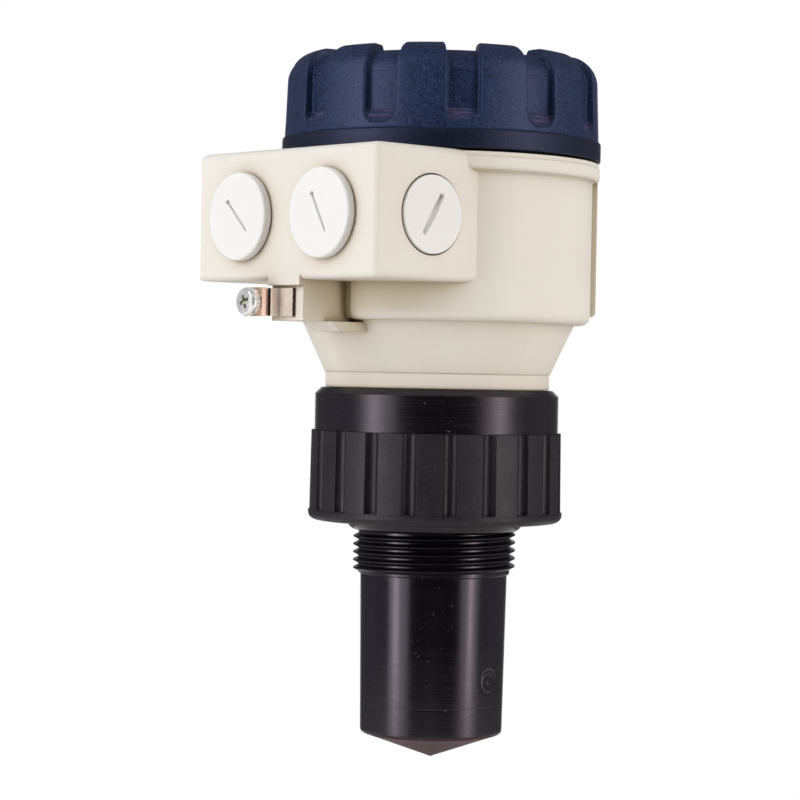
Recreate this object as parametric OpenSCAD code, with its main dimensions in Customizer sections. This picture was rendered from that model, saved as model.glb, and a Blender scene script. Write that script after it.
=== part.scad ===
// Compact radar level transmitter with a plastic housing and a screwed process connection.
// Axis of the antenna along Z, tip down. The origin lies on that axis at the first thread crest.
// The two cable entries of the conduit block face -Y, the side entries face +X and -X.

/* [Process thread] */
// Diameter over the crests of the process thread
thread_d = 47.8; // [46:0.1:50]
// Radial depth of the process thread
thread_depth = 1.475; // [1:0.025:1.7]
// Distance between two crests
thread_pitch = 2.309; // [2.1:0.001:2.8]
// Number of full crests
thread_crests = 5; // [3:1:8]
// Flat on top of each crest
crest_flat = 0.35; // [0.2:0.05:0.5]
// Height of the seat above the first crest
seat_rise = 4.7; // [4.2:0.1:7]
// How far the shoulder stands out from the crests
shoulder_step = 2; // [1.5:0.1:2.9]
// Height of the tapered shoulder under the seat
shoulder_h = 2.9; // [1.5:0.1:3.1]

/* [Antenna tube] */
// How far the tube lies inside the small step
tube_inset = 0.7; // [0.4:0.1:1.6]
// How much the tube's radius shrinks towards its lower edge
tube_taper = 0.75; // [0:0.05:1.5]
// Length of the tube below the run-out of the thread
tube_length = 46; // [40:0.5:80]
// How far the small step under the thread lies inside the thread's root
step_inset = 0.075; // [0.025:0.025:0.325]
// Height of that step
step_h = 0.9; // [0.5:0.1:1.2]
// Radius of the rounded lower edge of the tube
tube_edge_r = 1.1; // [0.5:0.1:2]
// Slope of the pointed nose from the horizontal, in degrees
nose_slope = 20; // [10:1:30]
// Diameter of the bore that holds the antenna horn
bore_d = 33; // [28:0.5:34]
// Thickness of the nose above its rim
nose_wall = 2.8; // [1.5:0.1:5]

/* [Fluted ring] */
// How far the flutes stand out from the collar
flute_step = 0.9; // [0.4:0.1:2]
// How much the ring's radius grows towards its lip
ring_taper = 0.25; // [0:0.05:0.6]
// How far the lip stands out from the flutes
ring_lip_step = 0.4; // [0.2:0.1:2.5]
// Height of the lip
ring_lip_h = 2.9; // [2.4:0.1:4]
// Radius of the lower edge of the lip
ring_lip_r = 2.2; // [1:0.1:2.3]
// Height of the whole ring
ring_h = 26.25; // [24:0.25:40]
// Number of grip grooves
groove_count = 20; // [12:1:26]
// Width of a grip groove
groove_w = 4.3; // [3:0.1:5]
// Depth of a grip groove
groove_depth = 1.9; // [1:0.1:2.1]
// Height of the grooves' foot above the lip
groove_foot = 0.3; // [0.1:0.1:2]
// Turn of the groove pattern about the axis, in degrees
groove_turn = -36.7; // [-180:0.1:180]

/* [Collar] */
// Wall of the collar round the swivel chamber
collar_wall = 5.85; // [5:0.05:7]
// Height of the collar above the fluted ring
collar_h = 12.55; // [12:0.05:20]
// Chamfer round the top of the collar
collar_chamfer = 1.8; // [0.5:0.1:2.4]
// Wall of the sleeve under the swivel chamber
sleeve_t = 1.6; // [1.2:0.1:2]
// Thickness of the flange that carries the swivel
flange_h = 2; // [1.5:0.1:2.2]
// How far the clamped flange of the sensor body stands out from the shoulder
clamp_step = 2.5; // [2:0.1:4]
// Arc taken by each swivel stop, in degrees
stop_arc = 28; // [10:1:28]

/* [Housing] */
// How far the neck lies inside the collar
neck_inset = 2.9; // [2.2:0.1:4.4]
// Height of that neck
neck_h = 4.6; // [3:0.1:8]
// How far the foot of the cone stands out from the neck
cone_step = 0.25; // [0.05:0.05:1]
// Width of the ledge where the cone meets the body
cone_ledge = 4.6; // [3.6:0.1:6]
// Height of the cone
cone_h = 14.7; // [13:0.1:22]
// Diameter of the round body
body_d = 89.2; // [88:0.1:91]
// Height of the round body under its lip
body_h = 41.9; // [41:0.1:50]
// Radius of the lower edge of the body
body_edge_r = 2.7; // [1:0.1:3]
// How far the lip stands out from the body
lip_overhang = 2.1; // [1.7:0.1:3.2]
// Height of the lip
lip_h = 5.1; // [4:0.1:6]
// Wall thickness of the housing
wall = 3.5; // [3:0.1:4]
// Wall of the neck that carries the cover
neck_wall = 3.2; // [2.6:0.1:3.6]
// Height of that neck above the lip
top_neck_h = 11.5; // [10:0.1:13]
// Radial height of the raised pad on the back of the body
pad_rise = 1.6; // [0.5:0.1:2]
// Arc of the raised pad, in degrees
pad_arc = 88; // [40:1:120]

/* [Conduit block] */
// Width of the block across X
block_w = 77.4; // [76:0.1:84]
// How far the block reaches in front of the body
block_reach = 15; // [14.4:0.1:20]
// Height of the block
block_h = 36.8; // [35:0.1:38]
// Radius of the upper edges of the block
block_top_r = 2.8; // [1:0.1:3.2]
// Radius of the lower and upright edges of the block
block_edge_r = 1.8; // [0.5:0.1:2.5]
// Distance between the two front entries
entry_spacing = 35.6; // [33:0.1:36]
// Height of the entries above the underside of the block
entry_height = 18; // [17:0.1:19]
// How far the side entries lie behind the front of the block
side_entry_back = 20.3; // [19.6:0.1:20.6]
// Length of the threaded boss behind each entry
boss_length = 10; // [8.5:0.1:10.5]
// Wall of the boss round a front entry
boss_wall = 2.75; // [2.45:0.05:3.85]

/* [Plugs] */
// How far the head of a front plug reaches over its bore
front_head_rim = 2.45; // [1.95:0.05:3.9]
// Thickness of the head of a front plug
front_head_h = 2.6; // [2:0.1:5]
// Bore of a front entry
front_bore_d = 20.1; // [19.6:0.1:20.6]
// How far the head of a side plug reaches over its bore
side_head_rim = 0.85; // [0.7:0.05:1.3]
// Thickness of the rim of a side plug
side_head_h = 2; // [1.6:0.1:2.6]
// Bore of a side entry
side_bore_d = 20; // [19.5:0.1:20.4]
// Depth of the recess round a side plug
side_recess = 2; // [1.6:0.1:2.4]
// Length of a plug shank
shank_length = 9; // [7:0.1:9.4]
// Wall of the hollow shank
shank_wall = 2.2; // [1.5:0.1:3]
// Length of the screwdriver slot
slot_length = 13.4; // [8:0.1:15]
// Width of the screwdriver slot of a front plug
front_slot_w = 0.8; // [0.6:0.1:1.4]
// Width of the screwdriver slot of a side plug
side_slot_w = 1.8; // [1.2:0.1:2.4]
// Depth of the screwdriver slot
slot_depth = 1.5; // [0.8:0.1:1.6]
// Diameter of the round hole that ends each slot
slot_eye_d = 1.6; // [1.5:0.1:3]

/* [Cover] */
// How far the flange of the cover stands out from the lip
cover_overhang = 0.15; // [0:0.05:1.3]
// Height of that flange
cover_flange_h = 5.6; // [4:0.1:7]
// How far the flange stands out from the side of the cover
flange_step = 0.7; // [0.4:0.1:1.2]
// How much the cover's radius shrinks towards the top
cover_taper = 0.6; // [0:0.1:1]
// Height of the whole cover
cover_h = 30.2; // [29:0.1:40]
// Radius of the upper corner of the lugs
cover_corner_r = 8; // [5:0.1:10]
// Wall between the floor of the grip slots and the thread bore
thread_wall = 1.45; // [1.2:0.05:2]
// Wall of the cover above the thread bore
cover_wall = 3; // [2.4:0.1:3.4]
// Number of grip slots
lug_count = 12; // [8:1:14]
// Width of a grip slot
grip_slot_w = 9.6; // [7:0.1:12]
// Depth of a grip slot
grip_slot_depth = 2.1; // [1:0.1:2.3]
// Height of the foot of the slots above the flange
grip_slot_foot = 0.9; // [0.5:0.1:3]
// Turn of the slot pattern about the axis, in degrees
grip_turn = -35.5; // [-180:0.1:180]
// Width of the land where the lugs end on top of the cover
crown_land = 4.55; // [1:0.05:12]

/* [Ground terminal] */
// Distance of the terminal screw from the middle plane
screw_x = 6.4; // [6.3:0.1:7]
// Thickness of the metal strip
strip_t = 0.8; // [0.6:0.1:1]
// Inside radius of its bends
strip_bend_r = 0.2; // [0.1:0.1:0.4]
// Height of the metal strip
strip_h = 7.8; // [7:0.1:8]
// Distance by which the strip steps forward
strip_step = 3.6; // [3.4:0.1:4]
// Gap left for the wire behind the square washer
wire_gap = 1.1; // [0.8:0.1:2]
// Thread diameter of the terminal screw
screw_d = 4; // [3.5:0.1:4]
// Side of the square washer
washer_side = 8; // [7:0.1:8.4]
// Thickness of the square washer
washer_t = 1.5; // [1:0.1:2]
// Thickness of the lock washer
lock_t = 1; // [0.8:0.1:1.4]
// Diameter of the screw head
screw_head_d = 8; // [7:0.1:8.4]
// Height of the screw head
screw_head_h = 2.4; // [2:0.1:3]
// Length of the screw under its head
screw_length = 6; // [5.6:0.1:6.2]

/* [Inside] */
// Thickness of a circuit board
board_t = 1.6; // [1:0.1:2]
// Height of the potted electronics cup above its flange
cup_h = 12; // [8:0.5:14]
// Number of terminal poles
pole_count = 6; // [4:1:8]
// Distance between two poles
pole_pitch = 6.35; // [5:0.05:6.5]
// Thickness of the cross-section of the O-rings
o_ring_t = 2; // [1.6:0.1:2]

/* [Fits] */
// Radial gap of the parts that turn in each other
turn_gap = 0.1; // [0.05:0.05:0.15]
// Gap between moving parts that do not guide each other
free_gap = 0.3; // [0.2:0.05:0.4]
// Face gap under the turning housing and plugs
face_gap = 0.15; // [0.1:0.05:0.2]
// Gap between the lip of the housing and the cover
cover_gap = 0.7; // [0.5:0.1:1]

/* [Hidden] */
$fn = 96;
eps = 0.01;
big = 200;

black_plastic = [0.13, 0.12, 0.14];
cream_plastic = [0.92, 0.90, 0.85];
navy_plastic = [0.16, 0.19, 0.28];
white_plastic = [0.97, 0.97, 0.96];
seal_rubber = [0.10, 0.10, 0.10];
zinc_steel = [0.75, 0.76, 0.78];
nickel_strip = [0.82, 0.74, 0.70];
brass_metal = [0.80, 0.66, 0.36];
board_green = [0.10, 0.38, 0.22];

// Levels along the axis, upwards from the first thread crest
thread_r = thread_d / 2;
thread_root_r = thread_r - thread_depth;
crest_half_foot = crest_flat / 2 + thread_depth * tan(27.5);
step_r = thread_root_r - step_inset;
tube_top_r = step_r - tube_inset;
tube_bottom_r = tube_top_r - tube_taper;
thread_end_z = -(thread_crests - 1) * thread_pitch - crest_half_foot;
tube_top_z = thread_end_z - step_h + crest_flat;
tube_foot_z = tube_top_z - tube_length;
nose_r = tube_bottom_r - tube_edge_r;
nose_z = tube_foot_z - tube_edge_r;
tip_z = nose_z - nose_r * tan(nose_slope);
bore_foot_z = nose_z + nose_wall;
seat_z = seat_rise;
ring_top_z = seat_z + ring_h;
collar_top_z = ring_top_z + collar_h;
neck_foot_z = collar_top_z + face_gap;
cone_foot_z = collar_top_z + neck_h;
cone_top_z = cone_foot_z + cone_h;
body_top_z = cone_top_z + body_h;
lip_top_z = body_top_z + lip_h;
neck_top_z = lip_top_z + top_neck_h;
cover_foot_z = lip_top_z + cover_gap;
cover_top_z = cover_foot_z + cover_h;
block_top_z = cover_foot_z - free_gap;
block_foot_z = block_top_z - block_h;
entry_z = block_foot_z + entry_height;

// Inside of the process connection
body_shank_r = thread_r + shoulder_step;
body_flange_r = body_shank_r + clamp_step;
chamber_r = body_flange_r + sleeve_t;
collar_r = chamber_r + collar_wall;
ring_top_r = collar_r + flute_step;
ring_bottom_r = ring_top_r + ring_taper;
ring_lip_out_r = ring_bottom_r + ring_lip_step;
body_flange_z = seat_z + 8;
body_top_rim_z = ring_top_z - 2.2;
sleeve_foot_z = body_flange_z + 1.05;
swivel_flange_z = ring_top_z + 4.6;
swivel_flange_top_z = swivel_flange_z + flange_h;
swivel_flange_r = chamber_r - 3.8;
spigot_r = chamber_r - turn_gap;
spigot_foot_z = swivel_flange_top_z + 2.25;
spigot_tail_r = swivel_flange_r - turn_gap;
spigot_tail_z = swivel_flange_z - 3.2;
spigot_bore_r = spigot_tail_r - 5;
clip_groove_r = spigot_tail_r - 1.5;
clip_t = 1.4;
clip_z = swivel_flange_z - free_gap - clip_t;
o_ring_r = o_ring_t / 2;
swivel_ring_z = (spigot_foot_z + neck_foot_z) / 2;
swivel_groove_r = spigot_r - o_ring_t - turn_gap / 2;
sensor_ring_z = body_top_rim_z - 3.8;
ledge_z = -6;
upper_bore_r = bore_d / 2 + 1;
horn_throat_z = ledge_z - 10;
insert_top_z = horn_throat_z - 12.4;

// Radii of the cover, from the lip of the housing inwards
thread_room = 1;
cover_flange_r = body_d / 2 + lip_overhang + cover_overhang;
cover_bottom_r = cover_flange_r - flange_step;
cover_top_r = cover_bottom_r - cover_taper;
cover_core_r = cover_top_r - grip_slot_depth;
cover_bore_r = cover_core_r - thread_wall;
crown_r = cover_top_r - cover_corner_r - crown_land;

// Inside of the housing
body_r = body_d / 2;
cavity_r = body_r - wall;
lip_r = body_r + lip_overhang;
neck_r = collar_r - neck_inset;
cone_bottom_r = neck_r + cone_step;
cone_top_r = body_r - cone_ledge;
floor_z = cone_top_z + wall - 0.3;
top_neck_r = cover_bore_r - thread_room;
top_bore_r = top_neck_r - neck_wall;
cone_inner_foot_r = cone_bottom_r - wall;
cone_inner_top_r = cone_top_r - wall;
cup_gap = 0.8;
cup_foot_z = cone_foot_z + 4;
cup_flange_h = 2;
cup_flange_r = cavity_r - 1;
cup_flange_top_z = floor_z + cup_flange_h;
cup_r = cone_inner_top_r - cup_gap;
cup_top_z = cup_flange_top_z + cup_h;
board_top_z = cup_top_z + board_t;
board_r = cup_r - 1;
cup_screw_r = (cup_flange_r + cup_r) / 2 + 0.2;
cup_screw_count = 3;
terminal_h = 11.4;
terminal_depth = 12;
terminal_front_y = 10.1 - cavity_r;
wire_hole = 4;
wire_hole_depth = 8;
wire_hole_z = board_top_z + 2;
terminal_screw_r = 2;
terminal_screw_h = 4.4;
terminal_screw_z = wire_hole_z + 3;
terminal_screw_y = terminal_front_y + 5;
drive_slot = 0.6;
drive_slot_depth = 0.8;
cup_screw_shank_r = 1.15;
cup_screw_head_r = 2;
cup_screw_head_h = 1.6;
cup_screw_depth = 2;
can_w = 28;
can_depth = 22;
can_h = 6;
can_wall = 0.6;
connector_x = board_r - 16.7;
connector_w = 7;
connector_length = 16;
connector_h = 8;
connector_wall = 1;
socket_r = 4;
socket_h = 5;
lead_r = 1.5;

// Front and side entries
block_r = block_w / 2;
block_front = body_r + block_reach;
side_entry_y = block_front - side_entry_back;
front_head_r = front_bore_d / 2 + front_head_rim;
side_head_r = side_bore_d / 2 + side_head_rim;
boss_r = front_bore_d / 2 + boss_wall;
front_shank_r = front_bore_d / 2 - 0.65;
side_shank_r = side_bore_d / 2 - 0.65;
seal_t = 1;
side_seal_t = 0.6;
seal_seat_r = front_bore_d / 2 + 1.35;
side_recess_r = side_head_r + 0.4;
seal_gap = 0.05;

// Ground terminal, on the front of the bracket under the block
bracket_front = block_front - 1.6;
bracket_left = -6.4;
bracket_right = 7.2;
bracket_foot_z = cone_top_z - 0.8;
tongue_drop = 1.6;
terminal_z = block_foot_z - 6.3;
pocket_w = 3;
pocket_depth = 2;
foot_left = -1.5;
foot_front = 50.3;
foot_back = 34;
foot_slope = 3.3;
foot_drop = 2.7;
strip_left = -10.4;
strip_bend = -2.4;
strip_right = 3.7;
strip_tail = 6;
strip_face = bracket_front + strip_t + strip_step;
washer_face = strip_face + wire_gap + washer_t;
head_face = washer_face + lock_t;
screw_r = screw_d / 2 - 0.05;
washer_bore_r = screw_r + 0.25;
nut_t = 2.2;
nut_r = screw_x + strip_bend - strip_t - strip_bend_r - turn_gap;

// Cover
cover_corner_z = cover_top_z - cover_corner_r;
cover_flange_top_z = cover_foot_z + cover_flange_h;
cover_core_top_z = cover_top_z - grip_slot_depth;
cover_core_corner = cover_corner_r - 1.5;
cover_inner_r = cover_core_r - cover_wall;
cover_inner_top_z = cover_core_top_z - cover_wall;
slot_foot_z = cover_flange_top_z + grip_slot_foot;
scoop_top_z = slot_foot_z + grip_slot_w / 2;
seal_room_r = top_neck_r + 2.9;
seal_room_h = 1.7;

// Points along an arc in the profile plane
function arc(centre, r, from, to, steps = 6) =
    [for (i = [0:steps]) let (a = from + (to - from) * i / steps) centre + r * [cos(a), sin(a)]];

// One crest of the ring-shaped thread profile
function crest(z, root, top, flat, foot) =
    [[root, z - foot], [top, z - flat / 2], [top, z + flat / 2], [root, z + foot]];

// Outline of a rectangle with its own radius at each corner, from the lower left anticlockwise
function rounded(x0, y0, x1, y1, low_left, low_right, up_right, up_left) = concat(
    arc([x1 - low_right, y0 + low_right], low_right, -90, 0),
    arc([x1 - up_right, y1 - up_right], up_right, 0, 90),
    arc([x0 + up_left, y1 - up_left], up_left, 90, 180),
    arc([x0 + low_left, y0 + low_left], low_left, 180, 270)
);

// A ring with a rectangular section
module ring(r_out, r_in, z0, z1) {
    translate([0, 0, z0]) difference() {
        cylinder(r = r_out, h = z1 - z0);
        translate([0, 0, -1]) cylinder(r = r_in, h = z1 - z0 + 2);
    }
}

// An O-ring that lies round the axis
module o_ring(r, section_r, z) {
    translate([0, 0, z]) rotate_extrude() translate([r, 0]) circle(r = section_r, $fn = 24);
}

// A block given by its two opposite corners
module box(low, high) {
    translate(low) cube(high - low);
}

// Turns a shape made along +Z so that it points out of the front entry
module at_front(x) {
    translate([x, -block_front, entry_z]) rotate([90, 0, 0]) children();
}

// Turns a shape made along +Z so that it points out of the right side entry
module at_side() {
    translate([block_r, -side_entry_y, entry_z]) rotate([0, 90, 0]) rotate([0, 0, 90]) children();
}

module sensor_body() {
    outline = concat(
        [[0, tip_z]],
        arc([nose_r, tube_foot_z], tube_edge_r, -90, 0, 4),
        [[tube_top_r, tube_top_z], [step_r, tube_top_z], [step_r, thread_end_z]],
        [for (i = [thread_crests - 1:-1:0])
            each crest(-i * thread_pitch, thread_root_r, thread_r, crest_flat, crest_half_foot)],
        [[thread_root_r, seat_z - shoulder_h]],
        arc([body_shank_r - shoulder_h, seat_z], shoulder_h, -60, 0, 4),
        [[body_shank_r, body_flange_z], [body_flange_r, body_flange_z]],
        [[body_flange_r, body_top_rim_z], [0, body_top_rim_z]]
    );
    color(black_plastic) difference() {
        rotate_extrude() polygon(outline);
        translate([0, 0, bore_foot_z]) cylinder(d = bore_d, h = big);
        translate([0, 0, ledge_z]) cylinder(r = upper_bore_r, h = big);
        ring(body_flange_r + 1, body_flange_r - o_ring_t, sensor_ring_z - o_ring_r - turn_gap,
            sensor_ring_z + o_ring_r + turn_gap);
    }
}

module sensor_o_ring() {
    color(seal_rubber) o_ring(body_flange_r - o_ring_r + turn_gap, o_ring_r, sensor_ring_z);
}

module fluted_ring() {
    groove_r = (groove_w * groove_w / 4 + groove_depth * groove_depth) / (2 * groove_depth);
    outline = concat(
        [[body_shank_r + face_gap, seat_z]],
        arc([ring_lip_out_r - ring_lip_r, seat_z + ring_lip_r], ring_lip_r, -90, 0),
        [[ring_lip_out_r, seat_z + ring_lip_h], [ring_bottom_r, seat_z + ring_lip_h]],
        [[ring_top_r, ring_top_z], [body_shank_r + face_gap, ring_top_z]]
    );
    color(black_plastic) difference() {
        rotate_extrude() polygon(outline);
        translate([0, 0, body_flange_z - face_gap]) cylinder(r = chamber_r + face_gap, h = big);
        for (i = [0:groove_count - 1])
            rotate([0, 0, groove_turn + i * 360 / groove_count])
                translate([ring_bottom_r + groove_r - groove_depth, 0, seat_z + ring_lip_h + groove_foot])
                    cylinder(r = groove_r, h = big, $fn = 32);
    }
}

// A segment of the swivel chamber that limits the turn of the housing
module swivel_stop(r_in, r_out, z0, z1, middle) {
    rotate([0, 0, middle - stop_arc / 2]) rotate_extrude(angle = stop_arc)
        polygon([[r_in, z0], [r_out, z0], [r_out, z1], [r_in, z1]]);
}

module collar() {
    outline = [
        [body_flange_r + face_gap, sleeve_foot_z], [chamber_r, sleeve_foot_z],
        [chamber_r, ring_top_z], [collar_r, ring_top_z],
        [collar_r, collar_top_z - collar_chamfer], [collar_r - collar_chamfer, collar_top_z],
        [chamber_r, collar_top_z], [chamber_r, swivel_flange_top_z],
        [swivel_flange_r, swivel_flange_top_z], [swivel_flange_r, swivel_flange_z],
        [body_flange_r + face_gap, swivel_flange_z]
    ];
    color(black_plastic) {
        rotate_extrude() polygon(outline);
        swivel_stop(swivel_flange_r + 1, chamber_r + eps, swivel_flange_top_z - eps,
            spigot_foot_z - free_gap, 90);
    }
}

module swivel_o_ring() {
    color(seal_rubber) o_ring(spigot_r - o_ring_r, o_ring_r - turn_gap / 2, swivel_ring_z);
}

module retaining_ring() {
    gap_arc = 24;
    color(zinc_steel) rotate([0, 0, gap_arc / 2]) rotate_extrude(angle = 360 - gap_arc)
        translate([clip_groove_r + face_gap, clip_z]) square([body_flange_r - clip_groove_r - 0.8, clip_t]);
}

module microwave_board() {
    color(board_green) ring(upper_bore_r - face_gap, 2, ledge_z, ledge_z + board_t);
}

module microwave_module() {
    can_foot_z = ledge_z + board_t;
    can_top_z = seat_z + 8;
    lid_r = upper_bore_r - 1.2;
    color(zinc_steel) difference() {
        union() {
            translate([0, 0, can_foot_z]) cylinder(r = lid_r, h = can_top_z - can_foot_z);
            translate([0, 0, can_top_z]) cylinder(r = socket_r, h = socket_h);
        }
        translate([0, 0, can_top_z + 1]) cylinder(r = lead_r + turn_gap, h = socket_h);
        translate([0, 0, can_foot_z - 1]) cylinder(r = lid_r - 1, h = can_top_z - can_foot_z);
    }
}

module antenna_horn() {
    throat_r = 3.5;
    mouth_r = bore_d / 2 - face_gap;
    mouth_z = bore_foot_z + 0.5;
    skin = 1;
    color(brass_metal) rotate_extrude() polygon([
        [throat_r, ledge_z], [throat_r, horn_throat_z], [mouth_r - skin, mouth_z], [mouth_r, mouth_z],
        [throat_r + skin, horn_throat_z], [throat_r + skin, ledge_z - skin], [throat_r + 5, ledge_z - skin],
        [throat_r + 5, ledge_z]
    ]);
}

module horn_insert() {
    foot_r = bore_d / 2 - 2.3;
    foot_h = 1;
    point_r = 1;
    color(white_plastic) translate([0, 0, bore_foot_z]) {
        cylinder(r = foot_r, h = foot_h);
        translate([0, 0, foot_h])
            cylinder(r1 = foot_r, r2 = point_r, h = insert_top_z - bore_foot_z - foot_h);
    }
}

module coax_lead() {
    lead_foot_z = seat_z + 9;
    lead_top_z = cup_foot_z - socket_h + 3;
    color(seal_rubber) translate([0, 0, lead_foot_z]) cylinder(r = lead_r, h = lead_top_z - lead_foot_z);
}

// Round walls of the housing, from the swivel spigot up to the neck for the cover
module housing_shell() {
    lip_edge_r = 1.2;
    lip_band_h = 1.4;
    lip_step = 0.3;
    neck_chamfer = 0.8;
    taper_z = lip_top_z - 4;
    outline = concat(
        [[spigot_bore_r, spigot_tail_z], [spigot_tail_r, spigot_tail_z]],
        [[spigot_tail_r, clip_z - face_gap], [clip_groove_r, clip_z - face_gap]],
        [[clip_groove_r, clip_z + clip_t + face_gap], [spigot_tail_r, clip_z + clip_t + face_gap]],
        [[spigot_tail_r, spigot_foot_z], [spigot_r, spigot_foot_z]],
        [[spigot_r, swivel_ring_z - o_ring_r], [swivel_groove_r, swivel_ring_z - o_ring_r]],
        [[swivel_groove_r, swivel_ring_z + o_ring_r], [spigot_r, swivel_ring_z + o_ring_r]],
        [[spigot_r, neck_foot_z], [neck_r, neck_foot_z], [neck_r, cone_foot_z]],
        [[cone_bottom_r, cone_foot_z], [cone_top_r, cone_top_z]],
        arc([body_r - body_edge_r, cone_top_z + body_edge_r], body_edge_r, -90, 0),
        [[body_r, body_top_z - 0.4], [lip_r - lip_edge_r - lip_step, body_top_z]],
        arc([lip_r - lip_edge_r, body_top_z + lip_edge_r], lip_edge_r, -90, 0, 4),
        [[lip_r, lip_top_z - lip_band_h], [lip_r - lip_step, lip_top_z - lip_edge_r]],
        [[lip_r - lip_step, lip_top_z]],
        [[top_neck_r, lip_top_z], [top_neck_r, neck_top_z - neck_chamfer]],
        [[top_neck_r - neck_chamfer, neck_top_z], [top_bore_r, neck_top_z]],
        [[top_bore_r, taper_z], [cavity_r, taper_z - 2]],
        [[cavity_r, floor_z], [cone_inner_top_r, floor_z], [cone_inner_top_r, cone_top_z]],
        [[cone_inner_foot_r, cone_foot_z]],
        [[spigot_bore_r, cone_foot_z - 3]]
    );
    rotate_extrude() polygon(outline);
    swivel_stop(spigot_tail_r - eps, spigot_r - 0.2, swivel_flange_top_z + free_gap,
        spigot_foot_z + eps, -90);
}

// Raised pad on the back of the body
module back_pad() {
    pad_foot_z = cone_top_z + body_edge_r;
    pad_edge_r = 1.2;
    rotate([0, 0, 90 - pad_arc / 2]) rotate_extrude(angle = pad_arc) polygon(concat(
        [[body_r - 1, pad_foot_z]],
        arc([body_r + pad_rise - pad_edge_r, pad_foot_z + pad_edge_r], pad_edge_r, -90, 0, 4),
        [[body_r + pad_rise, body_top_z + 1], [body_r - 1, body_top_z + 1]]
    ));
}

// The conduit block, its edges rounded by three crossed prisms
module block_form() {
    intersection() {
        translate([0, 0, block_foot_z - 1]) linear_extrude(block_h + 2) polygon(rounded(
            -block_r, -block_front, block_r, 0, block_edge_r, block_edge_r, eps, eps));
        translate([-block_r - 1, 0, 0]) rotate([90, 0, 90]) linear_extrude(block_w + 2) polygon(rounded(
            -block_front, block_foot_z, 0, block_top_z, block_edge_r, eps, eps, block_top_r));
        translate([0, 1, 0]) rotate([90, 0, 0]) linear_extrude(block_front + 2) polygon(rounded(
            -block_r, block_foot_z, block_r, block_top_z,
            block_edge_r, block_edge_r, block_top_r, block_top_r));
    }
}

// Bracket, tongue and sloping foot under the block
module bracket_form() {
    foot_top_z = bracket_foot_z + eps;
    foot_low_z = bracket_foot_z - foot_drop;
    box([bracket_left, -bracket_front, bracket_foot_z],
        [bracket_right, -body_r + wall, block_foot_z + wall]);
    box([bracket_left, -block_front, block_foot_z - tongue_drop],
        [bracket_right, -bracket_front + 1, block_foot_z + wall]);
    translate([foot_left, 0, 0]) rotate([90, 0, 90]) linear_extrude(bracket_right + pocket_w - foot_left)
        polygon([[-foot_front, foot_top_z], [foot_slope - foot_front, foot_low_z],
            [-foot_back, foot_low_z], [-foot_back, foot_top_z]]);
}

module housing() {
    front_y = block_front - wall;
    color(cream_plastic) difference() {
        union() {
            difference() {
                union() {
                    housing_shell();
                    back_pad();
                    difference() {
                        block_form();
                        translate([0, 0, block_foot_z - 1]) cylinder(r = cavity_r, h = block_h + 2);
                        translate([0, 0, lip_top_z]) cylinder(r = seal_room_r + 0.5, h = block_h);
                    }
                    difference() {
                        bracket_form();
                        translate([0, 0, cone_foot_z]) cylinder(
                            r1 = cone_bottom_r - 1, r2 = cone_top_r - 1, h = cone_h);
                        translate([0, 0, cone_top_z - eps]) cylinder(r = cavity_r, h = block_h);
                    }
                }
                box([-block_r + wall, -front_y, block_foot_z + wall],
                    [block_r - wall, -top_neck_r * 0.4, block_top_z - wall - 0.1]);
            }
            for (x = [-1, 1]) {
                at_front(x * entry_spacing / 2) translate([0, 0, -boss_length])
                    cylinder(r = boss_r, h = boss_length - wall / 2);
                mirror([(1 - x) / 2, 0, 0]) at_side() translate([0, 0, -boss_length - 1])
                    cylinder(r = boss_r, h = boss_length + 1 - wall / 2);
            }
        }
        for (x = [-1, 1]) {
            at_front(x * entry_spacing / 2) {
                translate([0, 0, -boss_length - 1]) cylinder(d = front_bore_d, h = boss_length + 2);
                translate([0, 0, -seal_t]) cylinder(r = seal_seat_r, h = seal_t + 1);
            }
            mirror([(1 - x) / 2, 0, 0]) at_side() {
                translate([0, 0, -boss_length - 2]) cylinder(d = side_bore_d, h = boss_length + 3);
                translate([0, 0, -side_recess]) cylinder(r = side_recess_r, h = side_recess + 1);
            }
        }
        for (i = [0:cup_screw_count - 1])
            rotate([0, 0, 90 + i * 360 / cup_screw_count]) translate([cup_screw_r, 0, floor_z - 2.3])
                cylinder(r = cup_screw_shank_r + face_gap, h = 3);
        box([bracket_right, -body_r - 1, bracket_foot_z + eps],
            [bracket_right + pocket_w, -body_r + pocket_depth, block_foot_z]);
        box([strip_right - strip_t - turn_gap, -bracket_front - 1, terminal_z - strip_h / 2 - turn_gap],
            [strip_right + turn_gap, -bracket_front + strip_tail + turn_gap,
                terminal_z + strip_h / 2 + turn_gap]);
    }
}

module electronics_cup() {
    slope = (cone_inner_top_r - cone_inner_foot_r) / (cone_top_z - cone_foot_z);
    low_r = cone_inner_foot_r + slope * (cup_foot_z - cone_foot_z) - cup_gap;
    color([0.35, 0.36, 0.38]) difference() {
        rotate_extrude() polygon([
            [0, cup_foot_z], [low_r, cup_foot_z], [cup_r, cone_top_z], [cup_r, floor_z],
            [cup_flange_r, floor_z], [cup_flange_r, cup_flange_top_z], [cup_r, cup_flange_top_z],
            [cup_r, cup_top_z], [0, cup_top_z]
        ]);
        for (i = [0:cup_screw_count - 1])
            rotate([0, 0, 90 + i * 360 / cup_screw_count]) translate([cup_screw_r, 0, floor_z - 1])
                cylinder(r = cup_screw_shank_r + face_gap, h = cup_flange_h + 2);
    }
}

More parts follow.
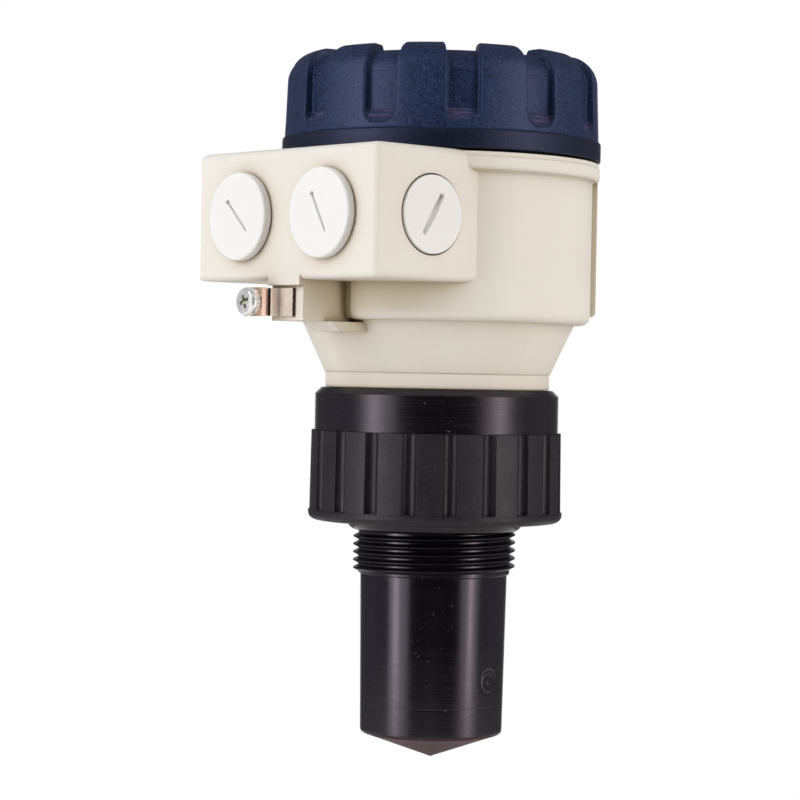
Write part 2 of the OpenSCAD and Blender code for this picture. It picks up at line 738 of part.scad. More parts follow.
module cup_screws() {
    drive_slot_w = 0.5;
    drive_slot_z = 0.9;
    color(zinc_steel) for (i = [0:cup_screw_count - 1])
        rotate([0, 0, 90 + i * 360 / cup_screw_count]) translate([cup_screw_r, 0, 0]) difference() {
            union() {
                translate([0, 0, floor_z - cup_screw_depth])
                    cylinder(r = cup_screw_shank_r, h = cup_flange_h + cup_screw_depth);
                translate([0, 0, cup_flange_top_z]) cylinder(r = cup_screw_head_r, h = cup_screw_head_h);
            }
            box([-cup_screw_head_r + 0.4, -drive_slot_w / 2, cup_flange_top_z + drive_slot_z],
                [cup_screw_head_r - 0.4, drive_slot_w / 2, cup_flange_top_z + cup_screw_head_h + 1]);
        }
}

module circuit_board() {
    color(board_green) translate([0, 0, cup_top_z]) cylinder(r = board_r, h = board_t);
}

module terminal_block() {
    half = pole_count * pole_pitch / 2;
    color([0.20, 0.42, 0.28]) difference() {
        box([-half, terminal_front_y, board_top_z],
            [half, terminal_front_y + terminal_depth, board_top_z + terminal_h]);
        for (i = [0:pole_count - 1]) translate([-half + (i + 0.5) * pole_pitch, 0, 0]) {
            box([-wire_hole / 2, terminal_front_y - 1, wire_hole_z],
                [wire_hole / 2, terminal_front_y + wire_hole_depth, wire_hole_z + wire_hole]);
            translate([0, terminal_screw_y, wire_hole_z + wire_hole / 2])
                cylinder(r = terminal_screw_r + turn_gap, h = terminal_h);
        }
    }
}

module terminal_screws() {
    half = pole_count * pole_pitch / 2;
    color(zinc_steel) for (i = [0:pole_count - 1])
        translate([-half + (i + 0.5) * pole_pitch, terminal_screw_y, terminal_screw_z]) difference() {
            cylinder(r = terminal_screw_r, h = terminal_screw_h);
            box([-terminal_screw_r - 1, -drive_slot / 2, terminal_screw_h - drive_slot_depth],
                [terminal_screw_r + 1, drive_slot / 2, terminal_screw_h + 1]);
        }
}

module shield_can() {
    color(zinc_steel) difference() {
        box([-can_w / 2, 0, board_top_z], [can_w / 2, can_depth, board_top_z + can_h]);
        box([can_wall - can_w / 2, can_wall, board_top_z - 1],
            [can_w / 2 - can_wall, can_depth - can_wall, board_top_z + can_h - can_wall]);
    }
}

module service_connector() {
    color([0.12, 0.12, 0.13]) difference() {
        box([connector_x, -connector_length / 2, board_top_z],
            [connector_x + connector_w, connector_length / 2, board_top_z + connector_h]);
        box([connector_x + connector_wall, connector_wall - connector_length / 2, board_top_z + 2],
            [connector_x + connector_w - connector_wall, connector_length / 2 - connector_wall,
                board_top_z + connector_h + 1]);
    }
}

module antenna_socket() {
    color(brass_metal) ring(socket_r, lead_r + free_gap, cup_foot_z - socket_h, cup_foot_z);
}

// Bent strip: a front leg for the screw, a step back to the bracket, a flat and a tail let into the bracket
module ground_strip() {
    back = -bracket_front;
    outer_r = strip_bend_r + strip_t;
    front_bend = [strip_bend - outer_r, outer_r - strip_face];
    back_bend = [strip_bend + strip_bend_r, back - outer_r];
    plan = concat(
        [[strip_left, -strip_face]],
        arc(front_bend, outer_r, -90, 0),
        arc(back_bend, strip_bend_r, 180, 90, 4),
        [[strip_right, back - strip_t], [strip_right, back + strip_tail]],
        [[strip_right - strip_t, back + strip_tail], [strip_right - strip_t, back]],
        arc(back_bend, outer_r, 90, 180),
        arc(front_bend, strip_bend_r, 0, -90, 4),
        [[strip_left, strip_t - strip_face]]
    );
    color(nickel_strip) difference() {
        translate([0, 0, terminal_z - strip_h / 2]) linear_extrude(strip_h) polygon(plan);
        at_terminal(0) cylinder(r = washer_bore_r, h = big);
    }
}

// Turns a shape made along +Z so that it points out of the ground terminal, from the plane y = -face
module at_terminal(face) {
    translate([-screw_x, -face, terminal_z]) rotate([90, 0, 0]) children();
}

module ground_nut() {
    chamfer = 0.4;
    color(zinc_steel) at_terminal(strip_face - strip_t) mirror([0, 0, 1]) difference() {
        union() {
            cylinder(r = nut_r, h = nut_t - chamfer);
            translate([0, 0, nut_t - chamfer]) cylinder(r1 = nut_r, r2 = nut_r - chamfer, h = chamfer);
        }
        translate([0, 0, -1]) cylinder(r = screw_r + turn_gap / 2, h = nut_t + 2);
    }
}

module ground_square_washer() {
    half = washer_side / 2;
    color(nickel_strip) at_terminal(washer_face) difference() {
        box([-half, -half, -washer_t], [half, half, 0]);
        translate([0, 0, -washer_t - 1]) cylinder(r = washer_bore_r, h = washer_t + 2);
    }
}

module ground_lock_washer() {
    split = 10;
    band = 1.5;
    color(zinc_steel) at_terminal(washer_face) rotate([0, 0, 90 - split])
        rotate_extrude(angle = 360 - split) translate([screw_r + 0.2, 0]) square([band, lock_t]);
}

module ground_screw() {
    head_r = screw_head_d / 2;
    dome_r = 1.6;
    point_h = 0.5;
    recess_r = 2.1;
    recess_half = 0.5;
    recess_depth = 1.3;
    color(zinc_steel) at_terminal(head_face + seal_gap) difference() {
        union() {
            rotate_extrude() polygon(concat([[0, 0], [head_r, 0]],
                arc([head_r - dome_r, screw_head_h - dome_r], dome_r, 0, 70, 4), [[0, screw_head_h]]));
            translate([0, 0, -screw_length]) cylinder(r1 = screw_r - 0.4, r2 = screw_r, h = point_h);
            translate([0, 0, -screw_length + point_h]) cylinder(r = screw_r, h = screw_length);
        }
        for (a = [20, 110]) rotate([0, 0, a])
            box([-recess_r, -recess_half, screw_head_h - recess_depth],
                [recess_r, recess_half, screw_head_h + 1]);
    }
}

module cover_o_ring() {
    color(seal_rubber) o_ring(top_neck_r + 1.4, o_ring_r, lip_top_z + o_ring_r + face_gap);
}

// Solid of the cover out to its lugs
module cover_form() {
    rotate_extrude() polygon(concat(
        [[0, cover_foot_z], [cover_flange_r - 0.5, cover_foot_z], [cover_flange_r, cover_foot_z + 0.5]],
        [[cover_flange_r, cover_flange_top_z - 0.3], [cover_flange_r - 0.3, cover_flange_top_z]],
        [[cover_bottom_r, cover_flange_top_z]],
        arc([cover_top_r - cover_corner_r, cover_corner_z], cover_corner_r, 0, 90, 8),
        [[crown_r, cover_top_z], [crown_r, cover_core_top_z], [0, cover_core_top_z]]
    ));
}

// What the grip slots leave standing: the floor of the slots with its scooped foot
module slot_core() {
    rotate_extrude() polygon(concat(
        [[0, cover_foot_z - 1], [2 * cover_flange_r, cover_foot_z - 1]],
        [[2 * cover_flange_r, slot_foot_z - 1], [cover_bottom_r + 0.2, slot_foot_z - 0.3]],
        [[cover_core_r, scoop_top_z]],
        arc([cover_core_r - cover_core_corner, cover_core_top_z - cover_core_corner],
            cover_core_corner, 0, 90, 8),
        [[0, cover_core_top_z]]
    ));
}

// Upright slot with a round foot, cut from the side
module grip_slot() {
    translate([crown_r - 6, 0, 0]) rotate([90, 0, 90]) linear_extrude(big) union() {
        translate([0, scoop_top_z]) circle(d = grip_slot_w, $fn = 48);
        translate([-grip_slot_w / 2, scoop_top_z]) square([grip_slot_w, cover_h]);
    }
}

module cover() {
    inner_corner = cover_core_corner - cover_wall;
    color(navy_plastic) difference() {
        cover_form();
        difference() {
            for (i = [0:lug_count - 1]) rotate([0, 0, grip_turn + i * 360 / lug_count]) grip_slot();
            slot_core();
        }
        rotate_extrude() polygon(concat(
            [[0, cover_foot_z - 1], [seal_room_r, cover_foot_z - 1]],
            [[seal_room_r, cover_foot_z + seal_room_h], [cover_bore_r, cover_foot_z + seal_room_h + 1]],
            [[cover_bore_r, neck_top_z + 1], [cover_inner_r, neck_top_z + 3]],
            arc([cover_inner_r - inner_corner, cover_inner_top_z - inner_corner], inner_corner, 0, 90, 4),
            [[0, cover_inner_top_z]]
        ));
    }
}

// Blind plug along +Z, its face outwards; the head stands on z = 0
module plug(head_r, head_h, shank_r, edge, turn, slot_w) {
    end_chamfer = 0.8;
    slot_half = [slot_w, slot_length] / 2;
    color(white_plastic) difference() {
        union() {
            rotate_extrude() polygon(concat([[0, 0], [head_r, 0]],
                arc([head_r - edge, head_h - edge], edge, 0, 90, 4), [[0, head_h]]));
            rotate_extrude() polygon([[0, eps], [shank_r, eps], [shank_r, -shank_length + 1],
                [shank_r - end_chamfer, -shank_length], [0, -shank_length]]);
        }
        translate([0, 0, -shank_length - 1]) cylinder(r = shank_r - shank_wall, h = shank_length + 0.6);
        rotate([0, 0, turn]) {
            box([-slot_half.x, -slot_half.y, head_h - slot_depth], [slot_half.x, slot_half.y, head_h + 1]);
            translate([0, slot_half.y - slot_eye_d / 2, head_h - slot_depth])
                cylinder(d = slot_eye_d, h = slot_depth + 1);
        }
    }
}

module front_plug(side, turn) {
    at_front(side * entry_spacing / 2) translate([0, 0, face_gap + seal_gap])
        plug(front_head_r, front_head_h, front_shank_r, 0.7, turn, front_slot_w);
}

module side_plug(turn) {
    at_side() translate([0, 0, -side_recess + side_seal_t + 2 * seal_gap])
        plug(side_head_r, side_head_h, side_shank_r, 0.4, turn, side_slot_w);
}

module front_seal(side) {
    color(seal_rubber) at_front(side * entry_spacing / 2)
        ring(seal_seat_r - face_gap, front_shank_r + free_gap, -seal_t + seal_gap, face_gap);
}

module side_seal() {
    color(seal_rubber) at_side()
        ring(side_head_r, side_bore_d / 2 - free_gap, -side_recess + seal_gap,
            -side_recess + side_seal_t + seal_gap);
}

sensor_body();
fluted_ring();
collar();
sensor_o_ring();
microwave_board();
microwave_module();
antenna_horn();
horn_insert();
coax_lead();
housing();
swivel_o_ring();
retaining_ring();
electronics_cup();
circuit_board();
terminal_block();
terminal_screws();
shield_can();
service_connector();
cup_screws();
antenna_socket();
ground_strip();
ground_nut();
ground_square_washer();
ground_lock_washer();
ground_screw();
cover_o_ring();
cover();
front_plug(-1, 45);  // front_plug_left
front_plug(1, 29);  // front_plug_right
mirror([1, 0, 0]) side_plug(-31);  // side_plug_left
side_plug(-31);  // side_plug_right
front_seal(-1);  // front_seal_left
front_seal(1);  // front_seal_right
mirror([1, 0, 0]) side_seal();  // side_seal_left
side_seal();  // side_seal_right
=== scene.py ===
import math

import bmesh
import bpy
import numpy as np
from mathutils import Matrix, Vector

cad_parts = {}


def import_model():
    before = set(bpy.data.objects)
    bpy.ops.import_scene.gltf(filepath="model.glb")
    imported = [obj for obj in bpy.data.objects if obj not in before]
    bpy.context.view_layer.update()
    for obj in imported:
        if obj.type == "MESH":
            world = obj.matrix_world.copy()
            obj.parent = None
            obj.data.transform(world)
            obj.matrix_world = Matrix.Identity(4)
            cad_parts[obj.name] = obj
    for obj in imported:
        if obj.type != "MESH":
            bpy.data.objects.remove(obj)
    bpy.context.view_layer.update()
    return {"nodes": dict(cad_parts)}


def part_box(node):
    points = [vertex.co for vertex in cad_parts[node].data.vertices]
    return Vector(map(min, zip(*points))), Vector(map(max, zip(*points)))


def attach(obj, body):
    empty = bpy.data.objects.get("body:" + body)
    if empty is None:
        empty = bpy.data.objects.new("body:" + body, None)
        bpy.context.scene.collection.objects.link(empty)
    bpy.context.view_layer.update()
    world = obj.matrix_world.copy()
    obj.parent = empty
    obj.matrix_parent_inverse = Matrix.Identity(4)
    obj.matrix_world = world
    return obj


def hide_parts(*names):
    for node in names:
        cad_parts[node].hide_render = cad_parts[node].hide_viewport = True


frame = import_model()
scene = bpy.context.scene
MM = 0.001

# ---------------------------------------------------------------- camera, fitted to the photograph
CAM_AZIMUTH, CAM_PITCH, CAM_ROLL = math.radians(46.9), math.radians(0.64), math.radians(1.07)
CAM_DISTANCE, CAM_HEIGHT = 0.736, 0.0484
CAM_LENS, CAM_SENSOR, CAM_SHIFT_X = 112.28, 36, -0.046

back = Vector((math.sin(CAM_AZIMUTH), -math.cos(CAM_AZIMUTH), 0))
right = Vector((math.cos(CAM_AZIMUTH), math.sin(CAM_AZIMUTH), 0))
aim = (Matrix((right, (0, 0, 1), back)).transposed().to_4x4()
       @ Matrix.Rotation(-CAM_PITCH, 4, "X") @ Matrix.Rotation(CAM_ROLL, 4, "Z"))
camera = bpy.data.objects.new("camera", bpy.data.cameras.new("camera"))
camera.data.sensor_width = CAM_SENSOR
camera.data.lens = CAM_LENS
camera.data.shift_x = CAM_SHIFT_X
camera.matrix_world = Matrix.Translation(back * CAM_DISTANCE + Vector((0, 0, CAM_HEIGHT))) @ aim
scene.collection.objects.link(camera)
scene.camera = camera


# ---------------------------------------------------------------- mesh helpers, in millimetres
MERGE_DISTANCE, THIN_EDGE = 2e-6, 1e-6      # metres
RUN_OUT_FOOT, RUN_OUT_POWER = 0.02, 0.7     # a thread's height at its very end, and how it grows from there
CREST_DROP, CREST_WIDEN = 0.06, 0.03        # the small chamfers at a thread's crest


def make_object(name, verts, faces, sharp=38.0):
    """An object from vertices in millimetres, merged, cleaned and smooth but for its sharp edges."""
    mesh = bpy.data.meshes.new(name)
    mesh.from_pydata([tuple(v) for v in np.asarray(verts, float) * MM], [], faces)
    bm = bmesh.new()
    bm.from_mesh(mesh)
    bmesh.ops.remove_doubles(bm, verts=bm.verts, dist=MERGE_DISTANCE)
    bmesh.ops.dissolve_degenerate(bm, edges=bm.edges, dist=THIN_EDGE)
    bmesh.ops.recalc_face_normals(bm, faces=bm.faces)
    bm.to_mesh(mesh)
    bm.free()
    for polygon in mesh.polygons:
        polygon.use_smooth = True
    mesh.set_sharp_from_angle(angle=math.radians(sharp))
    obj = bpy.data.objects.new(name, mesh)
    scene.collection.objects.link(obj)
    return obj


def grid_faces(rows, cols):
    """Quads of a grid whose columns close round the axis."""
    return [(i * cols + j, i * cols + (j + 1) % cols, (i + 1) * cols + (j + 1) % cols, (i + 1) * cols + j)
            for i in range(rows - 1) for j in range(cols)]


def arc(centre_r, centre_z, radius, start, end, steps=6):
    """Points (r, z) along an arc between two angles in degrees."""
    return [(centre_r + radius * math.cos(math.radians(a)), centre_z + radius * math.sin(math.radians(a)))
            for a in np.linspace(start, end, steps + 1)]


def ridge(name, root, crest, pitch, z_start, turn_start, turns, foot, flat,
          fade=50.0, per_turn=120, sink=0.15):
    """A closed right-handed thread ridge round +Z that fades out at both ends.

    It starts at height z_start and angle turn_start in degrees. foot and flat are the widths of its foot and
    crest, fade is the length of a run-out in degrees, and sink is how deep it reaches into its core.
    """
    count = max(8, int(turns * per_turn)) + 1
    out = 1 if crest > root else -1
    verts = []
    for i in range(count):
        turned = 360.0 * turns * i / (count - 1)
        ends = min(turned, 360.0 * turns - turned) / fade
        grow = RUN_OUT_FOOT + (1 - RUN_OUT_FOOT) * min(1.0, ends) ** RUN_OUT_POWER
        a = math.radians(turn_start + turned)
        z = z_start + pitch * turned / 360.0
        top = root + (crest - root) * grow
        shoulder = top - out * CREST_DROP * grow
        section = [(root - out * sink, -foot / 2), (root, -foot / 2), (shoulder, -flat / 2 - CREST_WIDEN),
                   (top, -flat / 4), (top, flat / 4),
                   (shoulder, flat / 2 + CREST_WIDEN), (root, foot / 2), (root - out * sink, foot / 2)]
        verts += [(r * math.cos(a), r * math.sin(a), z + dz) for r, dz in section]
    cols = len(section)
    faces = grid_faces(count, cols)
    faces += [tuple(range(cols)), tuple((count - 1) * cols + k for k in range(cols))]
    return make_object(name, verts, faces, sharp=25)


def place(obj, matrix):
    """Bakes a matrix in metres into the mesh of a new piece."""
    obj.data.transform(matrix)
    if matrix.determinant() < 0:
        obj.data.flip_normals()
    return obj


# ---------------------------------------------------------------- node helpers
def linear(*srgb):
    """sRGB numbers from 0 to 255 as a linear colour."""
    out = [c / 255 / 12.92 if c / 255 <= 0.04045 else ((c / 255 + 0.055) / 1.055) ** 2.4 for c in srgb]
    return (*out, 1.0)


def feed(tree, node, inputs):
    """Links each named input of a node to a socket, or sets it to a plain value."""
    for key, value in inputs.items():
        if isinstance(value, bpy.types.NodeSocket):
            tree.links.new(value, node.inputs[key])
        else:
            node.inputs[key].default_value = value


def add_node(tree, kind, inputs=None, **settings):
    """A new node with its settings and inputs."""
    node = tree.nodes.new(kind)
    for key, value in settings.items():
        setattr(node, key, value)
    feed(tree, node, inputs or {})
    return node


class Nodes:
    """A small builder for one material's node tree. Its methods return output sockets."""

    def __init__(self, name):
        self.material = bpy.data.materials.new(name)
        self.material.use_nodes = True
        self.tree = self.material.node_tree
        self.shader = next(n for n in self.tree.nodes if n.type == "BSDF_PRINCIPLED")
        self.place = self.add("ShaderNodeTexCoord").outputs["Object"]

    def add(self, kind, inputs=None, **settings):
        return add_node(self.tree, kind, inputs, **settings)

    def finish(self, sockets):
        """Feeds the shader and returns the material."""
        feed(self.tree, self.shader, sockets)
        return self.material

    def stretched(self, sx, sy, sz):
        """The place on the object, scaled by axis."""
        return self.add("ShaderNodeMapping", {"Scale": (sx, sy, sz), "Vector": self.place}).outputs["Vector"]

    def noise(self, scale, detail=2.0, roughness=0.5, vector=None):
        return self.add("ShaderNodeTexNoise", {"Scale": scale, "Detail": detail, "Roughness": roughness,
                                               "Vector": vector or self.place}).outputs["Fac"]

    def cells(self, scale, **settings):
        return self.add("ShaderNodeTexVoronoi", {"Scale": scale, "Vector": self.place},
                        **settings).outputs["Distance"]

    def ramp(self, value, low, high, out_low=0.0, out_high=1.0):
        """out_low where the value is low, out_high where it is high, and straight in between."""
        return self.add("ShaderNodeMapRange", {"From Min": low, "From Max": high, "To Min": out_low,
                                               "To Max": out_high, "Value": value}).outputs["Result"]

    def math(self, operation, a, b):
        return self.add("ShaderNodeMath", {0: a, 1: b}, operation=operation).outputs[0]

    def mix(self, factor, a, b):
        return self.add("ShaderNodeMix", {0: factor, 6: a, 7: b}, data_type="RGBA").outputs[2]

    def clouds(self, scale, detail, share, colour, dark):
        """The colour with up to this share of the dark one, in soft clouds."""
        return self.mix(self.ramp(self.noise(scale, detail), 0.35, 0.7, 0.0, share), colour, dark)

    def uneven(self, noise, low, high):
        """A value that follows a noise between two limits."""
        return self.ramp(noise, 0.3, 0.7, low, high)

    def bump(self, height, distance, normal=None):
        inputs = {"Strength": 1.0, "Distance": distance, "Height": height}
        if normal is not None:
            inputs["Normal"] = normal
        return self.add("ShaderNodeBump", inputs).outputs["Normal"]

    def open_share(self, distance):
        """1 on open faces, falling to 0 down in crevices."""
        return self.add("ShaderNodeAmbientOcclusion", {"Distance": distance}, samples=6).outputs["AO"]

    def bevel(self, radius):
        return self.add("ShaderNodeBevel", {"Radius": radius}, samples=6).outputs["Normal"]

    def axes(self):
        """The X, Y and Z of the place on the object."""
        return self.add("ShaderNodeSeparateXYZ", {0: self.place}).outputs


# ---------------------------------------------------------------- materials
# painted shade: how far round crevices, corners and hollows the ambient occlusion darkens the plastic's colour
CREVICE_REACH, CORNER_REACH, HOLLOW_REACH = 0.0022, 0.007, 0.03     # metres that the shading of hollows looks round
CORNER_SHADE_COLOUR = linear(112, 96, 72)


def plastic(name, colour, dark, rough, grain=2200.0, grain_depth=2e-5, bevel=0.0, specular=0.5,
            speck=0.0, speck_colour=None, stain=None, tint=0.3, crevice_shade=None, hollow_shade=None):
    """Moulded plastic with clouded colour and fine grain, and optional specks, stains and painted shade that darkens
    its crevices, corners and hollows.
    """
    n = Nodes(name)
    base = n.clouds(45.0, 3.0, tint, colour, dark)
    fine = n.noise(grain, 2.0, 0.6)
    if speck:
        base = n.mix(n.ramp(fine, 0.52, 0.72, 0.0, speck), base, speck_colour)
    if stain:
        dots = n.math("MULTIPLY", n.ramp(n.cells(260.0), 0.04, 0.07, 0.35, 0.0), n.ramp(n.noise(160.0), 0.60, 0.64))
        base = n.mix(dots, base, stain)
    # painted shade: the colour darkens towards warm browns in hollows, corners and crevices, where shade falls
    if hollow_shade:
        base = n.mix(n.ramp(n.open_share(HOLLOW_REACH), 0.40, 0.98, 1.0, 0.0), base, hollow_shade)
        base = n.mix(n.ramp(n.open_share(CORNER_REACH), 0.10, 0.60, 0.9, 0.0), base, CORNER_SHADE_COLOUR)
    if crevice_shade:
        base = n.mix(n.ramp(n.open_share(CREVICE_REACH), 0.06, 0.44, 0.9, 0.0), base, crevice_shade)
    return n.finish({
        "Base Color": base, "Roughness": n.uneven(n.noise(120.0, 4.0), rough - 0.06, rough + 0.06),
        "Normal": n.bump(fine, grain_depth, n.bevel(bevel) if bevel else None), "Specular IOR Level": specular})


def turned_material(name, colour, dark, rough, specular, bevel=0.0, worn=0.0):
    """Turned black plastic with the marks of the tool, duller by worn towards the nose of the tube."""
    n = Nodes(name)
    turned = n.noise(1.0, 4.0, 0.7, n.stretched(14.0, 14.0, 3600.0))
    base = n.clouds(60.0, 4.0, 0.6, colour, dark)
    base = n.mix(n.ramp(turned, 0.50, 0.74, 0.0, 0.03), base, linear(92, 80, 108))
    specks = n.ramp(n.noise(1400.0, 2.0), 0.70, 0.76, 0.0, 0.4)
    dulled = n.ramp(n.axes()["Z"], -0.055, -0.028, worn, 0.0)
    grain = n.bump(n.noise(2400.0, 2.0), 0.7e-5, n.bevel(bevel) if bevel else None)
    return n.finish({
        "Base Color": n.mix(specks, base, linear(130, 120, 128)),
        "Roughness": n.math("ADD", n.uneven(turned, rough - 0.04, rough + 0.06), dulled),
        "Normal": n.bump(turned, 4.5e-6, grain),
        "Specular IOR Level": specular, "Specular Tint": (1.0, 0.87, 1.0, 1.0)})


def metal(name, colour, dark, rough, stretch=(300.0, 300.0, 300.0), metallic=1.0):
    """Plated metal with brushed scratches and a cloudy tarnish."""
    n = Nodes(name)
    scratches = n.noise(8.0, 4.0, 0.6, n.stretched(*stretch))
    return n.finish({
        "Base Color": n.clouds(400.0, 4.0, 0.8, colour, dark),
        "Roughness": n.uneven(n.noise(900.0, 3.0), rough - 0.07, rough + 0.08),
        "Normal": n.bump(scratches, 1.5e-6, n.bevel(0.0001)), "Metallic": metallic})


def cover_material():
    """Grainy navy plastic with pale specks and a painted highlight along its edges; its slot feet keep the streaks
    of their mould.
    """
    n = Nodes("navy_plastic")
    z = n.axes()["Z"]
    flat = n.add("ShaderNodeVectorMath", {0: n.place, 1: (1, 1, 0)}, operation="MULTIPLY").outputs[0]
    radius = n.add("ShaderNodeVectorMath", {0: flat}, operation="LENGTH").outputs["Value"]
    foot = n.math("MULTIPLY", n.ramp(z, 0.1172, 0.1176), n.ramp(z, 0.1214, 0.1220, 1.0, 0.0))
    foot = n.math("MULTIPLY", foot, n.ramp(radius, 0.0450, 0.0456, 1.0, 0.0))
    streaks = n.ramp(n.noise(1.0, 3.0, 0.7, n.stretched(160.0, 160.0, 2600.0)), 0.45, 0.62)
    fine, coarse = n.noise(2000.0, 3.0, 0.7), n.noise(850.0, 2.0, 0.6)
    base = n.clouds(45.0, 3.0, 0.6, linear(20, 40, 70), linear(22, 32, 60))
    base = n.mix(n.ramp(fine, 0.54, 0.66, 0.0, 0.7), base, linear(70, 80, 122))
    base = n.mix(n.ramp(coarse, 0.34, 0.46, 0.7, 0.0), base, linear(8, 13, 28))
    base = n.mix(n.math("MULTIPLY", n.math("MULTIPLY", foot, streaks), 0.75), base, linear(88, 82, 110))
    # painted highlight: the base turns a paler blue along the edges, where the rounded bevel normal bends away from
    # the face
    rounded = n.bevel(0.0004)
    facing = n.add("ShaderNodeNewGeometry").outputs["Normal"]
    bend = n.add("ShaderNodeVectorMath", {0: rounded, 1: facing}, operation="DOT_PRODUCT").outputs["Value"]
    base = n.mix(n.ramp(bend, 0.90, 0.99, 0.6, 0.0), base, linear(96, 104, 142))
    below_flange_top = n.ramp(z, 0.1159, 0.1162, 0.85, 0.0)
    return n.finish({
        "Base Color": n.mix(below_flange_top, base, linear(5, 13, 24)), "Roughness": n.uneven(fine, 0.36, 0.48),
        "Normal": n.bump(coarse, 7e-5, n.bump(fine, 9e-5, rounded)),
        "Specular IOR Level": 0.5, "Specular Tint": (0.55, 0.60, 1.0, 1.0)})


STRIP_FACE, STRIP_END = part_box("ground_strip")[0].y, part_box("ground_strip")[1].x
STRIP_BEND = STRIP_END - 0.0061


def strip_material():
    """Satin strip brushed along its length, with painted shade across its outer bend, and dark in its seam and at
    its torn end.
    """
    n = Nodes("strip_nickel")
    where = n.axes()
    x, y = where["X"], where["Y"]
    ragged = n.math("ADD", x, n.math("MULTIPLY", n.noise(1300.0, 4.0, 0.7), 0.0007))
    torn = n.ramp(ragged, STRIP_END - 0.00002, STRIP_END + 0.00010)
    # painted shade: a dark band across the strip's outer bend
    bend = n.math("MULTIPLY", n.ramp(x, STRIP_BEND - 0.00068, STRIP_BEND - 0.00058),
                  n.ramp(y, STRIP_FACE + 0.00055, STRIP_FACE + 0.00065, 1.0, 0.0))
    seam = n.math("MULTIPLY", n.ramp(x, STRIP_BEND + 0.00014, STRIP_BEND + 0.0002),
                  n.ramp(x, STRIP_BEND + 0.0004, STRIP_BEND + 0.0005, 0.6, 0.0))
    base = n.clouds(420.0, 4.0, 1.0, linear(248, 236, 227), linear(238, 222, 212))
    # the dark colour serves both the painted shade of the bend and the dark seam
    base = n.mix(n.math("MAXIMUM", bend, seam), base, linear(58, 46, 50))
    brushed = n.bump(n.noise(8.0, 4.0, 0.6, n.stretched(60.0, 60.0, 900.0)), 1.5e-6, n.bevel(0.00012))
    return n.finish({
        "Base Color": n.mix(torn, base, linear(74, 54, 56)), "Roughness": n.ramp(torn, 0.0, 1.0, 0.3, 0.75),
        "Metallic": n.ramp(torn, 0.0, 1.0, 0.35, 0.1),
        "Normal": n.bump(n.math("MULTIPLY", torn, n.noise(2600.0, 3.0)), 6e-5, brushed)})


def board_material():
    """Green solder mask with traces and pads."""
    n = Nodes("board_green")
    traces = n.ramp(n.cells(260.0, feature="DISTANCE_TO_EDGE", distance="CHEBYCHEV"), 0.03, 0.06, 1.0, 0.0)
    pads = n.ramp(n.cells(330.0), 0.16, 0.2, 1.0, 0.0)
    mask = n.mix(traces, linear(28, 92, 58), linear(46, 122, 80))
    return n.finish({
        "Base Color": n.mix(pads, mask, linear(196, 182, 140)), "Roughness": n.ramp(pads, 0.0, 1.0, 0.42, 0.25),
        "Normal": n.bump(n.math("ADD", traces, pads), 3e-5)})


navy = cover_material()
board = board_material()
nickel = strip_material()
# painted shade: the cream plastic darkens to warm browns in its crevices, corners and hollows
cream = plastic("cream_plastic", linear(231, 229, 223), linear(227, 223, 214), 0.46, grain=1700.0,
                grain_depth=1.6e-5, bevel=0.0005, specular=0.36, stain=linear(150, 128, 100), tint=0.5,
                crevice_shade=linear(150, 126, 96), hollow_shade=linear(188, 174, 142))
# painted shade: the white plastic darkens to a warm brown in its crevices, such as the plug slots
white = plastic("white_plastic", linear(238, 239, 240), linear(234, 234, 234), 0.36, grain=900.0,
                grain_depth=0.8e-5, specular=0.45, tint=0.5, crevice_shade=linear(128, 112, 94))
black_moulded = plastic("black_moulded", linear(29, 25, 33), linear(25, 21, 29), 0.46, grain=2000.0,
                        grain_depth=3.2e-5, bevel=0.00025, specular=0.34, speck=0.22,
                        speck_colour=linear(84, 74, 88))
rubber = plastic("seal_rubber", linear(28, 28, 29), linear(38, 37, 37), 0.62, grain=1500.0, grain_depth=1.2e-5)
potting = plastic("potting_grey", linear(88, 90, 94), linear(76, 78, 84), 0.5, grain=300.0, grain_depth=4e-5)
terminal_green = plastic("terminal_green", linear(70, 128, 86), linear(58, 112, 74), 0.42, grain=1200.0,
                         grain_depth=0.8e-5, bevel=0.0002)
connector_black = plastic("connector_black", linear(36, 36, 38), linear(28, 28, 31), 0.4, grain=1800.0,
                          grain_depth=0.8e-5, bevel=0.0002)
lead = plastic("lead_jacket", linear(40, 40, 42), linear(52, 51, 50), 0.5, grain=1600.0, grain_depth=0.6e-5)
horn_white = plastic("insert_white", linear(236, 236, 232), linear(226, 226, 222), 0.4, grain=900.0,
                     grain_depth=0.8e-5)
black_turned = turned_material("black_turned", linear(13, 10, 15), linear(9, 8, 12), 0.26, 0.48, bevel=0.00025)
tube = turned_material("tube_turned", linear(10, 8, 13), linear(7, 6, 10), 0.19, 0.5, worn=0.09)
thread_black = turned_material("thread_turned", linear(8, 7, 10), linear(6, 5, 8), 0.34, 0.3)
# partly painted reflection: the nose is a paler pink-grey, partly its lighter turned surface and partly a painted
# reflection of the pale floor
nose = turned_material("nose_turned_and_reflection", linear(74, 53, 57), linear(60, 44, 48), 0.5, 0.12)
zinc = metal("zinc_steel", linear(252, 252, 249), linear(214, 218, 213), 0.2, metallic=0.62)
brass = metal("brass", linear(205, 172, 104), linear(176, 140, 80), 0.3, stretch=(60.0, 60.0, 900.0))
copper_washer = metal("washer_copper", linear(234, 206, 190), linear(216, 180, 160), 0.4,
                      stretch=(200.0, 200.0, 200.0))
# painted shade: a darker, green-grey zinc for the deep faces of the screw's cross recess
recess_shade_zinc = metal("recess_zinc", linear(150, 160, 128), linear(96, 116, 74), 0.34)

